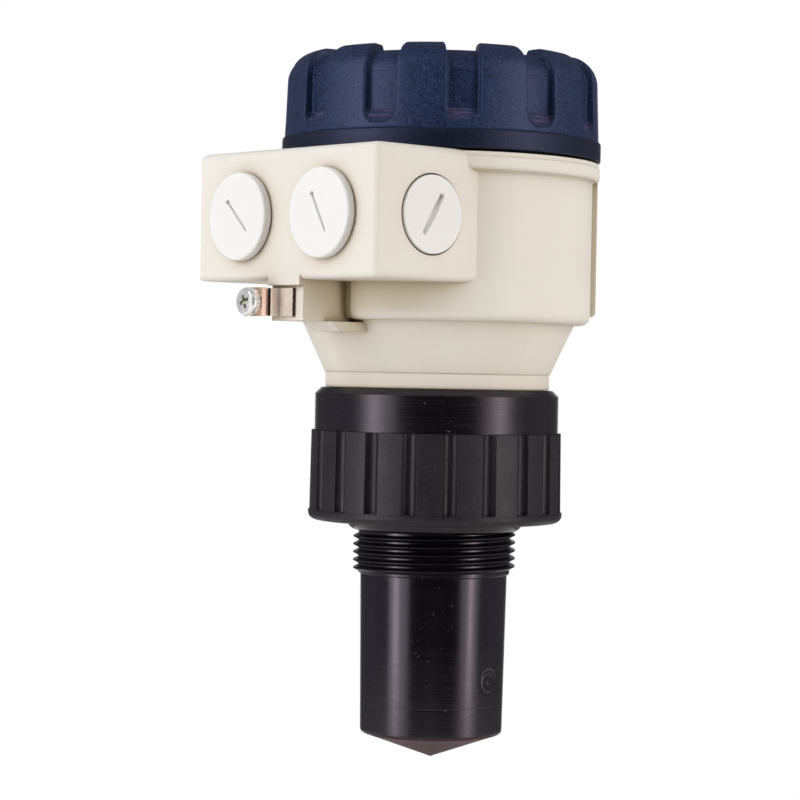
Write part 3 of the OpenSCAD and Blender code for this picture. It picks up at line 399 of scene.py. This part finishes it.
NODE_MATERIALS = {
    "fluted_ring": black_moulded, "collar": black_turned, "sensor_o_ring": rubber, "microwave_board": board,
    "microwave_module": zinc, "antenna_horn": brass, "horn_insert": horn_white, "coax_lead": lead,
    "housing": cream, "swivel_o_ring": rubber, "retaining_ring": zinc, "electronics_cup": potting,
    "circuit_board": board, "terminal_block": terminal_green, "terminal_screws": zinc, "shield_can": zinc,
    "service_connector": connector_black, "cup_screws": zinc, "antenna_socket": brass, "ground_strip": nickel,
    "ground_nut": zinc, "ground_square_washer": copper_washer, "ground_lock_washer": zinc, "ground_screw": zinc,
    "cover_o_ring": rubber, "cover": navy, "front_plug_left": white, "front_plug_right": white,
    "side_plug_left": white, "side_plug_right": white, "front_seal_left": rubber, "front_seal_right": rubber,
    "side_seal_left": rubber, "side_seal_right": rubber, "sensor_body": black_turned,
}
for name, obj in frame["nodes"].items():
    obj.data.materials.clear()
    obj.data.materials.append(NODE_MATERIALS[name])


def finish_piece(obj, material, body, slot, *replaced):
    """Gives a piece its material, its body and the solids that it takes the place of; the slot is not used."""
    obj.data.materials.clear()
    obj.data.materials.append(material)
    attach(obj, body)
    if replaced:
        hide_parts(*replaced)
    return obj


# ---------------------------------------------------------------- cover, in millimetres
SLOTS, FIRST_SLOT, SLOT_HALF = 12, -35.5, 4.8       # count, turn of the first one in degrees, half its width
SLOT_PITCH = 30.0                                   # degrees from slot to slot
SCOOP_Z, SLOT_FOOT_Z = 121.8, 117.0                 # centre and lowest point of a slot's round foot
LUG_COLUMNS = 8
FLANGE_TOP_Z, SHOULDER_Z, CROWN_Z, FACE_Z = 116.1, 132.7, 140.7, 138.6
LUG_FOOT_R, LUG_TAPER, CORE_R, CORE_PROUD = 46.15, 0.6, 43.45, 0.2
RIM_R = 33.0                                        # the lugs end here, round the sunk face
# how far the surface has sunk from lug (0) to slot floor (1) at a depth inside the slot's outline
EDGE_DEPTH = [-0.55, -0.36, -0.2, -0.08, 0.0, 0.07, 0.14, 0.22, 0.32, 0.46]
EDGE_SUNK = [0.0, 0.012, 0.05, 0.15, 0.36, 0.66, 0.86, 0.95, 0.99, 1.0]
FLOOR_COLUMNS = [3.9, 3.4, 2.9, 2.5, 2.1, 1.6, 1.1, 0.6]


def side_r(z):
    """Radius of the lugs."""
    return LUG_FOOT_R - LUG_TAPER * (z - FLANGE_TOP_Z) / (SHOULDER_Z - FLANGE_TOP_Z)


def core_r(z):
    """Radius of the slot floors, which slope out to the lugs at the foot."""
    t = min(1.0, max(0.0, (z - SLOT_FOOT_Z + 0.3) / (SCOOP_Z - SLOT_FOOT_Z + 0.3)))
    return min(side_r(z), (LUG_FOOT_R + CORE_PROUD) + (CORE_R - (LUG_FOOT_R + CORE_PROUD)) * t)


def cover_rows():
    """Rows of (lug r, lug z, slot floor r, slot floor z) from the inner face over the flange to the middle."""
    inside = [(0.01, 135.6), (20, 135.6)] + arc(36.95, 132.1, 3.5, 90, 0, 5)
    inside += [(40.45, 124.3), (42.0, 122.3), (42.0, 118), (42.0, 113.2), (43.7, 112.3), (43.9, 112.1),
               (43.9, 110.7), (44.1, 110.5)]
    flange = [(46.3, 110.5), (46.6, 110.6), (46.8, 110.8), (46.85, 111.1), (46.85, 115.4), (46.8, 115.75),
              (46.62, 116.0), (46.4, 116.1), (46.22, 116.2)]
    rows = [(r, z, r, z) for r, z in inside + flange]
    for z in list(np.arange(116.45, 122.3, 0.26)) + list(np.linspace(122.6, 132.2, 9)):
        rows.append((side_r(z), z, core_r(z), z))
    for a in np.linspace(0, 90, 14):
        c, s = math.cos(math.radians(a)), math.sin(math.radians(a))
        rows.append((37.55 + 8 * c, SHOULDER_Z + 8 * s, 36.95 + 6.5 * c, 132.1 + 6.5 * s))
    rows += [(r, CROWN_Z, min(r, 36.8), FACE_Z) for r in (36.5, 35.0, 34.0)]
    rows += [(r, z, core, FACE_Z) for r, z, core in (
        (33.55, 140.62, 33.6), (33.25, 140.42, 33.35), (33.07, 140.15, 33.15), (RIM_R, 139.8, RIM_R),
        (32.95, 139.2, 32.9), (32.85, 138.85, 32.8), (32.6, 138.65, 32.6))]
    face = [(r, FACE_Z) for r in (32.2, 29, 24, 18, 12, 7, 4.0)]
    sprue = [(3.8, 138.52), (3.6, 138.3), (1.5, 138.25), (0.01, 138.25)]
    return rows + [(r, z, r, z) for r, z in face + sprue]


def cover_mesh():
    half = [SLOT_HALF - t for t in EDGE_DEPTH] + FLOOR_COLUMNS
    columns = [-x for x in half] + [0.0] + half[::-1]
    rows = cover_rows()
    verts = []
    for lug, lug_z, core, core_z in rows:
        offsets = [(x, math.degrees(math.asin(x / max(lug, RIM_R)))) for x in columns]
        last = offsets[-1][1]
        for i in range(SLOTS):
            centre = FIRST_SLOT + SLOT_PITCH * i
            for x, turn in offsets:
                inside = SLOT_HALF - math.hypot(x, min(0.0, lug_z - SCOOP_Z))
                sunk = float(np.interp(inside, EDGE_DEPTH, EDGE_SUNK))
                r, z = lug + sunk * (core - lug), lug_z + sunk * (core_z - lug_z)
                a = math.radians(centre + turn)
                verts.append((r * math.cos(a), r * math.sin(a), z))
            for k in range(1, LUG_COLUMNS + 1):
                a = math.radians(centre + last + (SLOT_PITCH - 2 * last) * k / (LUG_COLUMNS + 1))
                verts.append((lug * math.cos(a), lug * math.sin(a), lug_z))
    return verts, grid_faces(len(rows), SLOTS * (len(columns) + LUG_COLUMNS))


COVER_PITCH = 4.0
cover = make_object("cover_dressed", *cover_mesh(), sharp=50)
finish_piece(cover, navy, "cover", "navy_plastic", "cover")
cover_thread = ridge("cover_thread", 42.0, 41.4, COVER_PITCH, 114.6, 180.0, 1.7, 1.7, 0.8, per_turn=160)
finish_piece(cover_thread, navy, "cover", "navy_plastic")
neck_thread = ridge("neck_thread", 41.0, 41.6, COVER_PITCH, 112.8, 0.0, 1.75, 1.7, 0.8, per_turn=160)
finish_piece(neck_thread, cream, "housing", "cream_plastic")


# ---------------------------------------------------------------- antenna tube and process thread, in millimetres
TIP_Z, TUBE_FOOT_Z = -65.04, -56.73
TUBE_FOOT_R, TUBE_GROWTH, TUBE_SPAN = 20.9, 0.75, 46.0      # the tube widens by the growth over the span
SCORE_LOW, SCORE_HIGH, SCORE_DEPTH = -48.9, -48.7, 0.018    # faint line round the tube
MARK_TURN, MARK_SPREAD = math.radians(8.4), math.radians(13)
MARK_Z, MARK_R, MARK_DEPTH, MARK_RING_R, MARK_RAISE = -41.2, 3.8, 0.12, 2.7, 0.10
NOSE_BAND = -57.2 * MM
THREAD_ROOT_R, THREAD_CREST_R, THREAD_PITCH = 22.425, 23.9, 2.309
THREAD_TOP_Z, THREAD_TURN = -0.2, 226.9     # the highest crest, and where round the axis it has that height
RUN_IN, RUN_OUT = 60, 130                   # degrees of ridge added before and after its full turns, to fade in


def tube_heights():
    """Heights of the tube's rows, close together at the score and round the mark."""
    below_mark = list(np.linspace(-55.5, -49.3, 6)) + [-48.95, -48.85, -48.75, -48.65, -48.3]
    below_mark += list(np.linspace(-47.5, -45.6, 4))
    return below_mark + list(np.arange(-45.3, -37.0, 0.24)) + list(np.linspace(-36, -11.3, 18))


def sensor_profile():
    """The whole sensor body from the tip up the outside and down its bore."""
    profile = [(r, TIP_Z + rise) for r, rise in ((0.01, 0), (0.5, 0.19), (3, 1.1), (8, 2.9), (14, 5.1))]
    profile += arc(19.8, TUBE_FOOT_Z, 1.1, -86, 0, 7)
    for z in tube_heights():
        scored = SCORE_DEPTH if SCORE_LOW < z < SCORE_HIGH else 0.0
        profile.append((TUBE_FOOT_R + TUBE_GROWTH * (z - TUBE_FOOT_Z) / TUBE_SPAN - scored, z))
    profile += [(21.62, -10.95), (21.9, -10.75), (22.2, -10.72), (22.35, -10.6), (22.35, -10.25), (22.4, -10.18),
                (22.42, -9.5), (THREAD_ROOT_R, 1.7)]
    profile += arc(23.0, 4.7, 2.9, -65, 0, 6)
    profile += [(25.9, 12.5), (26.0, 12.7), (28.2, 12.7), (28.4, 12.9), (28.4, 23.9), (26.4, 23.9), (26.4, 26.0),
                (28.4, 26.0), (28.4, 28.6), (28.2, 28.75)]
    return profile + [(17.5, 28.75), (17.5, -6.0), (16.5, -6.0), (16.5, -55.0), (0.01, -55.0)]


def mark_relief(r, z, a):
    """How far the plain round mark, a sunk disc with a ring and a dot, moves the surface of the tube."""
    side = (a - MARK_TURN + math.pi) % (2 * math.pi) - math.pi
    d = math.hypot(side * r, z - MARK_Z)
    relief = -MARK_DEPTH * float(np.interp(d, [MARK_R - 0.35, MARK_R + 0.2], [1, 0]))
    relief += MARK_RAISE * float(np.interp(abs(d - MARK_RING_R), [0.12, 0.3], [1, 0]))
    return relief + MARK_RAISE * float(np.interp(d, [0.55, 0.8], [1, 0]))


def sensor_mesh():
    angles = sorted(set(np.round(np.concatenate([
        np.linspace(0, 2 * math.pi, 160, endpoint=False),
        MARK_TURN + np.linspace(-MARK_SPREAD, MARK_SPREAD, 76)]) % (2 * math.pi), 6)))
    profile = sensor_profile()
    verts = []
    for r, z in profile:
        marked = -46 < z < -36.5 and 20 < r < 22.5
        for a in angles:
            shown = r + mark_relief(r, z, a) if marked else r
            verts.append((shown * math.cos(a), shown * math.sin(a), z))
    return verts, grid_faces(len(profile), len(angles))


sensor = make_object("sensor_body_dressed", *sensor_mesh(), sharp=32)
finish_piece(sensor, tube, "process_connection", "black_plastic", "sensor_body")
sensor.data.materials.append(nose)
# partly painted reflection: the faces of the nose that look down at the floor take the paler nose material
for polygon in sensor.data.polygons:
    if polygon.center.z < NOSE_BAND and polygon.normal.z < -0.5:
        polygon.material_index = 1
process_thread = ridge(
    "process_thread", THREAD_ROOT_R, THREAD_CREST_R, THREAD_PITCH,
    THREAD_TOP_Z - 4 * THREAD_PITCH - THREAD_PITCH * RUN_IN / 360, THREAD_TURN - RUN_IN,
    4.5 + RUN_OUT / 360, 1.886, 0.35, fade=70, per_turn=180, sink=0.3)
finish_piece(process_thread, thread_black, "process_connection", "black_plastic")


# ---------------------------------------------------------------- plugs, in millimetres
FRONT_PLUG = dict(head_r=12.5, head_h=2.6, shank_r=9.4, edge=0.7, slot_half=0.42, eye_half=0.68, slot_deep=1.1)
SIDE_PLUG = dict(head_r=10.85, head_h=2.0, shank_r=9.35, edge=0.4, slot_half=0.95, eye_half=0.78, slot_deep=1.8)
SHANK_LENGTH, PLUG_WALL = 9.0, 2.2
SLOT_REACH = 6.7 - 0.85         # from the plug's axis to the centre of the slot's round end
SIDE_COLUMNS, END_COLUMNS = 14, 16
NUB_TURN, NUB_SPREAD, NUB_HEIGHT = -95, 4.0, 0.5        # the flash left on one plug's edge; the first two in degrees
ENTRY_Z, BLOCK_FRONT_Y, BLOCK_SIDE_X = 91.4, -59.6, 38.7
FRONT_ENTRY_X, SIDE_ENTRY_Y = 17.8, -39.3
FRONT_GAP, SIDE_SINK = 0.2, 1.3         # the front heads stand off the block, the side heads are sunk into it
TO_FRONT = Matrix(((1, 0, 0, 0), (0, 0, -1, 0), (0, 1, 0, 0), (0, 0, 0, 1)))     # +Z to the front
TO_SIDE = Matrix(((0, 0, 1, 0), (1, 0, 0, 0), (0, 1, 0, 0), (0, 0, 0, 1)))       # +Z to the right
MIRROR_X = Matrix.Diagonal((-1, 1, 1, 1))


def slot_outline(slot_half, eye_half):
    """The slot's centre line, the direction out of it and its half width, column by column round the slot."""
    length = SLOT_REACH
    roots, normals = [], []
    for end in (1, -1):
        for k in range(END_COLUMNS):
            a = math.radians(180.0 * k / END_COLUMNS + (0.0 if end > 0 else 180.0))
            roots.append((0.0, end * length))
            normals.append((math.cos(a), math.sin(a)))
        for k in range(SIDE_COLUMNS):
            roots.append((0.0, end * (length - 2 * length * k / SIDE_COLUMNS)))
            normals.append((-float(end), 0.0))

    def half_width(y):
        belly = slot_half * (1 - 0.45 * (abs(y + 0.4) / length) ** 2)
        return belly + (eye_half - belly) * float(np.interp(y, [length - 1.0, length - 0.25], [0, 1]))
    return np.array(roots), np.array(normals), np.array([half_width(y) for _, y in roots])


def plug_mesh(head_r, head_h, shank_r, edge, slot_half, eye_half, slot_deep, nub):
    """Blind plug along +Z with a tool slot whose one end is a deeper eye, its face at head_h."""
    roots, normals, widths = slot_outline(slot_half, eye_half)
    far = roots + normals * 12.0
    unit = far / np.linalg.norm(far, axis=1)[:, None]
    turns = np.degrees(np.arctan2(unit[:, 1], unit[:, 0]))
    bore_r = shank_r - PLUG_WALL
    rows = []

    def add_row(flat, z):
        rows.append(np.column_stack([flat, np.full(len(unit), z)]))

    def add_ring(r, z):
        bump = np.zeros(len(unit))
        if nub and 0.3 < z < head_h - 0.4:
            bump = np.clip(1 - np.abs((turns - NUB_TURN + 180) % 360 - 180) / NUB_SPREAD, 0, 1) * NUB_HEIGHT
        add_row(unit * (r + bump)[:, None], z)
    shank = [(0.01, -0.4), (3.5, -0.4), (bore_r - 0.3, -0.4), (bore_r, -0.7), (bore_r, -SHANK_LENGTH + 0.3),
             (bore_r + 0.3, -SHANK_LENGTH), (shank_r - 1.0, -SHANK_LENGTH), (shank_r, -SHANK_LENGTH + 1.0),
             (shank_r, -0.3), (shank_r + 0.1, 0.0)]
    head = [(head_r - 0.15, 0.0), (head_r, 0.15), (head_r, 0.5), (head_r, (head_h - edge + 0.5) / 2),
            (head_r, head_h - edge)]
    for r, z in shank + head + arc(head_r - edge, head_h - edge, edge, 15, 90, 5):
        add_ring(r, z)
    rim = unit * (head_r - edge)
    near = roots + normals * (widths + 1.2)[:, None]
    for share, drop in ((0.06, 0.0), (0.2, -0.02), (0.4, -0.02), (0.6, -0.02), (0.8, -0.02)):
        add_row(rim * (1 - share) + near * share, head_h + drop)
    for gap, drop in ((1.2, -0.02), (0.6, -0.02), (0.3, -0.03), (0.12, -0.09), (0.0, -0.24), (-0.1, -0.55)):
        add_row(roots + normals * (widths + gap)[:, None], head_h + drop)
    eye = np.interp(roots[:, 1], [SLOT_REACH - 0.9, SLOT_REACH - 0.3], [0, 1])
    for share in (0.7, 0.35, 0.0):
        deep = slot_deep * (1 - 0.35 * share) + 0.8 * eye
        rows.append(np.column_stack([roots + normals * (widths * share * 0.8)[:, None], head_h - deep]))
    return np.concatenate(rows), grid_faces(len(rows), len(unit))


def front_entry(side, turn):
    """Where a front plug sits, in metres; side is -1 on the left and 1 on the right."""
    spot = (side * FRONT_ENTRY_X * MM, (BLOCK_FRONT_Y - FRONT_GAP) * MM, ENTRY_Z * MM)
    return Matrix.Translation(spot) @ TO_FRONT @ Matrix.Rotation(math.radians(turn), 4, "Z")


def side_entry(side, turn):
    """Where a side plug sits, in metres; the left one is the mirror image of the right one."""
    spot = ((BLOCK_SIDE_X - SIDE_SINK) * MM, SIDE_ENTRY_Y * MM, ENTRY_Z * MM)
    seat = Matrix.Translation(spot) @ TO_SIDE @ Matrix.Rotation(math.radians(turn), 4, "Z")
    return seat if side > 0 else MIRROR_X @ seat


# node, body, seat, sizes, whether it has the nub, and the thread's crest, pitch, start, turns and foot
PLUGS = [
    ("front_plug_left", "front_left_plug", front_entry(-1, 45), FRONT_PLUG, True, (9.85, 1.5, -7.4, 3.6, 1.2)),
    ("front_plug_right", "front_right_plug", front_entry(1, 29), FRONT_PLUG, False, (9.85, 1.5, -7.4, 3.6, 1.2)),
    ("side_plug_left", "side_left_plug", side_entry(-1, -31), SIDE_PLUG, False, (9.8, 1.814, -7.6, 3.0, 1.4)),
    ("side_plug_right", "side_right_plug", side_entry(1, -31), SIDE_PLUG, False, (9.8, 1.814, -7.6, 3.0, 1.4)),
]
for name, body, seat, sizes, nub, (crest, pitch, start, turns, foot) in PLUGS:
    piece = make_object(name + "_dressed", *plug_mesh(nub=nub, **sizes), sharp=45)
    finish_piece(place(piece, seat), white, body, "white_plastic", name)
    thread = ridge(name + "_thread", sizes["shank_r"], crest, pitch, start, 0.0, turns, foot, 0.4, per_turn=72)
    finish_piece(place(thread, seat), white, body, "white_plastic")


# ---------------------------------------------------------------- ground terminal screw, in millimetres
HEAD_R, HEAD_H, HEAD_EDGE = 4.0, 2.4, 1.35
SCREW_R, SCREW_CREST_R, SCREW_PITCH, SCREW_LENGTH = 1.75, 1.94, 0.7, 6.0
RECESS_TURNS, RECESS_HALF, RECESS_REACH = (20, 110), 0.52, 1.95     # degrees; half width and reach of an arm
RECESS_DEPTH, RECESS_SLOPE = 1.5, 0.32
# painted shade: within these limits the recess is also darker, not only duller
DULL_DEPTH, DULL_REACH = 0.6, 2.1       # the recess is dull deeper than this and nearer the axis than this


def recess_cut(x, y):
    """Depth of the cross recess under a point of the head."""
    cut = 0.0
    for turn in RECESS_TURNS:
        t = math.radians(turn)
        along, across = x * math.cos(t) + y * math.sin(t), -x * math.sin(t) + y * math.cos(t)
        inside = min(RECESS_HALF - abs(across), RECESS_REACH - abs(along))
        cut = max(cut, (RECESS_DEPTH - RECESS_SLOPE * abs(along)) * float(np.interp(inside, [-0.05, 0.14], [0, 1])))
    return cut


def screw_mesh():
    """Pan head screw along +Z with a tapered cross recess; its head stands on z = 0."""
    angles = np.linspace(0, 2 * math.pi, 128, endpoint=False)
    profile = [(r, HEAD_H - 0.30 * (r / 3.0) ** 2) for r in np.arange(0.02, 2.75, 0.075)]
    profile += arc(HEAD_R - HEAD_EDGE, HEAD_H - 1.45, HEAD_EDGE, 66, 0, 8)
    profile += [(HEAD_R, 0.25), (HEAD_R - 0.12, 0.0), (SCREW_R + 0.1, 0.0), (SCREW_R, -0.1)]
    profile += [(SCREW_R, -SCREW_LENGTH + 0.5), (SCREW_R - 0.4, -SCREW_LENGTH), (0.02, -SCREW_LENGTH)]
    verts = []
    for r, z in profile:
        for a in angles:
            x, y = r * math.cos(a), r * math.sin(a)
            verts.append((x, y, z - (recess_cut(x, y) if z > HEAD_H - 1.2 else 0.0)))
    return verts, grid_faces(len(profile), len(angles))


screw_low, screw_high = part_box("ground_screw")
screw_x, screw_z = (screw_low.x + screw_high.x) / 2, (screw_low.z + screw_high.z) / 2
screw_seat = Matrix.Translation((screw_x, screw_low.y + HEAD_H * MM, screw_z)) @ TO_FRONT
screw = make_object("ground_screw_dressed", *screw_mesh(), sharp=30)
finish_piece(place(screw, screw_seat), zinc, "ground_screw", "zinc_steel", "ground_screw")
screw.data.materials.append(recess_shade_zinc)
screw_face_y = min(v.co.y for v in screw.data.vertices)
# painted shade: the deep faces of the cross recess take the darker recess zinc
for polygon in screw.data.polygons:
    from_axis = math.hypot(polygon.center.x - screw_x, polygon.center.z - screw_z)
    depth = polygon.center.y - screw_face_y
    if from_axis < DULL_REACH * MM and DULL_DEPTH * MM < depth < HEAD_H * MM:
        polygon.material_index = 1
screw_thread = ridge("ground_screw_thread", SCREW_R, SCREW_CREST_R, SCREW_PITCH, -SCREW_LENGTH + 0.9, 0.0, 6.5,
                     0.6, 0.1, per_turn=40, fade=60, sink=0.1)
finish_piece(place(screw_thread, screw_seat), zinc, "ground_screw", "zinc_steel")


# ---------------------------------------------------------------- stage and light, in metres
FLOOR_Z, FLOOR_HALF = -0.19, 0.5
FLOOR_TINTS = (0.68, 0.65, 0.61, 1), (0.71, 0.68, 0.64, 1)
GLOW_FROM, GLOW_TO = 0.20, 0.50     # the floor turns to plain white between these distances from the axis
WHITE = (1, 1, 1, 1)
AMBIENT = 0.40
# colours from behind the object (0) round to the camera's side (1), for diffuse light and for reflections
AMBIENT_LEVELS = [(0.0, (1.9, 1.89, 1.86, 1)), (0.5, (2.1, 2.07, 2.02, 1)), (0.78, (0.52, 0.46, 0.34, 1)),
                  (1.0, (0.28, 0.235, 0.15, 1))]
ROOM_LEVELS = [(0.0, WHITE), (0.012, WHITE), (0.03, (0.10, 0.10, 0.11, 1)), (0.42, (0.28, 0.27, 0.33, 1)),
               (0.56, (0.28, 0.27, 0.33, 1)), (0.74, (0.05, 0.048, 0.058, 1)), (0.90, (0.012, 0.012, 0.018, 1))]
FROM_BELOW = (0.40, 0.33, 0.22, 1)      # what is left of the diffuse light that comes from below
LAMP_AIM = Vector((0, 0, 0.04))
# name, azimuth in degrees, distance, lower and upper edge, width, power, colour
LAMPS = [
    ("left_core", -13, 1.5, -0.75, 1.25, 0.26, 7.4, (1.0, 0.96, 0.99)),
    ("left_wide", -9, 1.5, -0.75, 1.25, 0.95, 12.9, (0.97, 0.97, 1.0)),
    ("right_core", 108, 1.5, -0.75, 1.25, 0.2, 7.0, (1.0, 0.93, 0.88)),
    ("right_wide", 106, 1.5, -0.75, 1.25, 0.85, 9.4, (0.99, 0.96, 0.96)),
    ("top_box", 40, 1.3, 1.0, 1.5, 0.9, 2.5, (1, 1, 1)),
]


def greater(tree, a, b):
    return add_node(tree, "ShaderNodeMath", {0: a, 1: b}, operation="MAXIMUM").outputs[0]


def mix_shaders(tree, factor, a, b):
    return add_node(tree, "ShaderNodeMixShader", {0: factor, 1: a.outputs[0], 2: b.outputs[0]})


def floor_material():
    """A pale floor that keeps the shadow near the object and is plain white to the camera and mirrors beyond."""
    material = bpy.data.materials.new("floor")
    material.use_nodes = True
    tree = material.node_tree
    tree.nodes.clear()
    clouds = add_node(tree, "ShaderNodeTexNoise", {"Scale": 3.0}).outputs["Fac"]
    tint = add_node(tree, "ShaderNodeMix", {0: clouds, 6: FLOOR_TINTS[0], 7: FLOOR_TINTS[1]}, data_type="RGBA")
    diffuse = add_node(tree, "ShaderNodeBsdfDiffuse", {"Color": tint.outputs[2]})
    glow = add_node(tree, "ShaderNodeEmission", {"Color": WHITE, "Strength": 1.0})
    rays = add_node(tree, "ShaderNodeLightPath").outputs
    seen = greater(tree, rays["Is Camera Ray"], rays["Is Transmission Ray"])
    seen = greater(tree, seen, rays["Is Glossy Ray"])
    place_on_floor = add_node(tree, "ShaderNodeTexCoord").outputs["Object"]
    distance = add_node(tree, "ShaderNodeVectorMath", {0: place_on_floor}, operation="LENGTH").outputs["Value"]
    fade = add_node(tree, "ShaderNodeMapRange", {"From Min": GLOW_FROM, "From Max": GLOW_TO, "Value": distance},
                    interpolation_type="SMOOTHSTEP").outputs["Result"]
    share = add_node(tree, "ShaderNodeMath", {0: seen, 1: fade}, operation="MULTIPLY").outputs[0]
    add_node(tree, "ShaderNodeOutputMaterial", {"Surface": mix_shaders(tree, share, diffuse, glow).outputs[0]})
    return material


def stage():
    half, z = FLOOR_HALF, FLOOR_Z
    mesh = bpy.data.meshes.new("floor")
    mesh.from_pydata([(-half, -half, z), (half, -half, z), (half, half, z), (-half, half, z)], [], [(0, 1, 2, 3)])
    mesh.materials.append(floor_material())
    floor = bpy.data.objects.new("floor", mesh)
    scene.collection.objects.link(floor)


def colour_ramp(tree, value, levels):
    """A smooth colour ramp through the levels, each a position and a colour."""
    ramp = add_node(tree, "ShaderNodeValToRGB", {"Fac": value})
    ramp.color_ramp.interpolation = "EASE"
    stops = ramp.color_ramp.elements
    (stops[0].position, stops[0].color), (stops[1].position, stops[1].color) = levels[0], levels[-1]
    for position, colour in levels[1:-1]:
        stops.new(position).color = colour
    return ramp.outputs["Color"]


def world():
    """White to the camera, soft light by direction for the surfaces, and a dim studio room in reflections."""
    studio = bpy.data.worlds.new("studio")
    scene.world = studio
    studio.use_nodes = True
    tree = studio.node_tree
    tree.nodes.clear()
    direction = add_node(tree, "ShaderNodeTexCoord").outputs["Generated"]
    facing = add_node(tree, "ShaderNodeVectorMath", {0: direction, 1: tuple(back)}, operation="DOT_PRODUCT")
    spread = add_node(tree, "ShaderNodeMapRange", {"From Min": -1.0, "Value": facing.outputs["Value"]})
    ambient = colour_ramp(tree, spread.outputs["Result"], AMBIENT_LEVELS)
    reflected = colour_ramp(tree, spread.outputs["Result"], ROOM_LEVELS)
    height = add_node(tree, "ShaderNodeSeparateXYZ", {0: direction}).outputs["Z"]
    below = add_node(tree, "ShaderNodeMapRange", {"From Min": 0.10, "From Max": -0.30, "Value": height})
    bounce = add_node(tree, "ShaderNodeMix", {0: below.outputs["Result"], 6: ambient, 7: FROM_BELOW},
                      data_type="RGBA", blend_type="MULTIPLY")
    soft = add_node(tree, "ShaderNodeBackground", {"Color": bounce.outputs[2], "Strength": AMBIENT})
    room = add_node(tree, "ShaderNodeBackground", {"Color": reflected, "Strength": 1.0})
    white_backdrop = add_node(tree, "ShaderNodeBackground", {"Color": WHITE, "Strength": 1.0})
    rays = add_node(tree, "ShaderNodeLightPath").outputs
    lit = mix_shaders(tree, rays["Is Glossy Ray"], soft, room)
    seen = greater(tree, rays["Is Camera Ray"], rays["Is Transmission Ray"])
    shown = mix_shaders(tree, seen, lit, white_backdrop)
    add_node(tree, "ShaderNodeOutputWorld", {"Surface": shown.outputs[0]})


def softbox(name, azimuth, distance, low, high, width, power, colour):
    """A tall lamp at an azimuth round the object, from height low to height high, aimed at the object."""
    light = bpy.data.lights.new(name, "AREA")
    light.shape = "RECTANGLE"
    light.size, light.size_y = width, high - low
    light.energy = power
    light.color = colour
    a = math.radians(azimuth)
    lamp = bpy.data.objects.new(name, light)
    lamp.location = Vector((math.sin(a) * distance, -math.cos(a) * distance, (low + high) / 2))
    lamp.rotation_euler = (LAMP_AIM - lamp.location).to_track_quat("-Z", "Y").to_euler()
    lamp.visible_camera = False
    scene.collection.objects.link(lamp)


stage()
world()
for lamp_values in LAMPS:
    softbox(*lamp_values)

scene.view_settings.view_transform = "Standard"
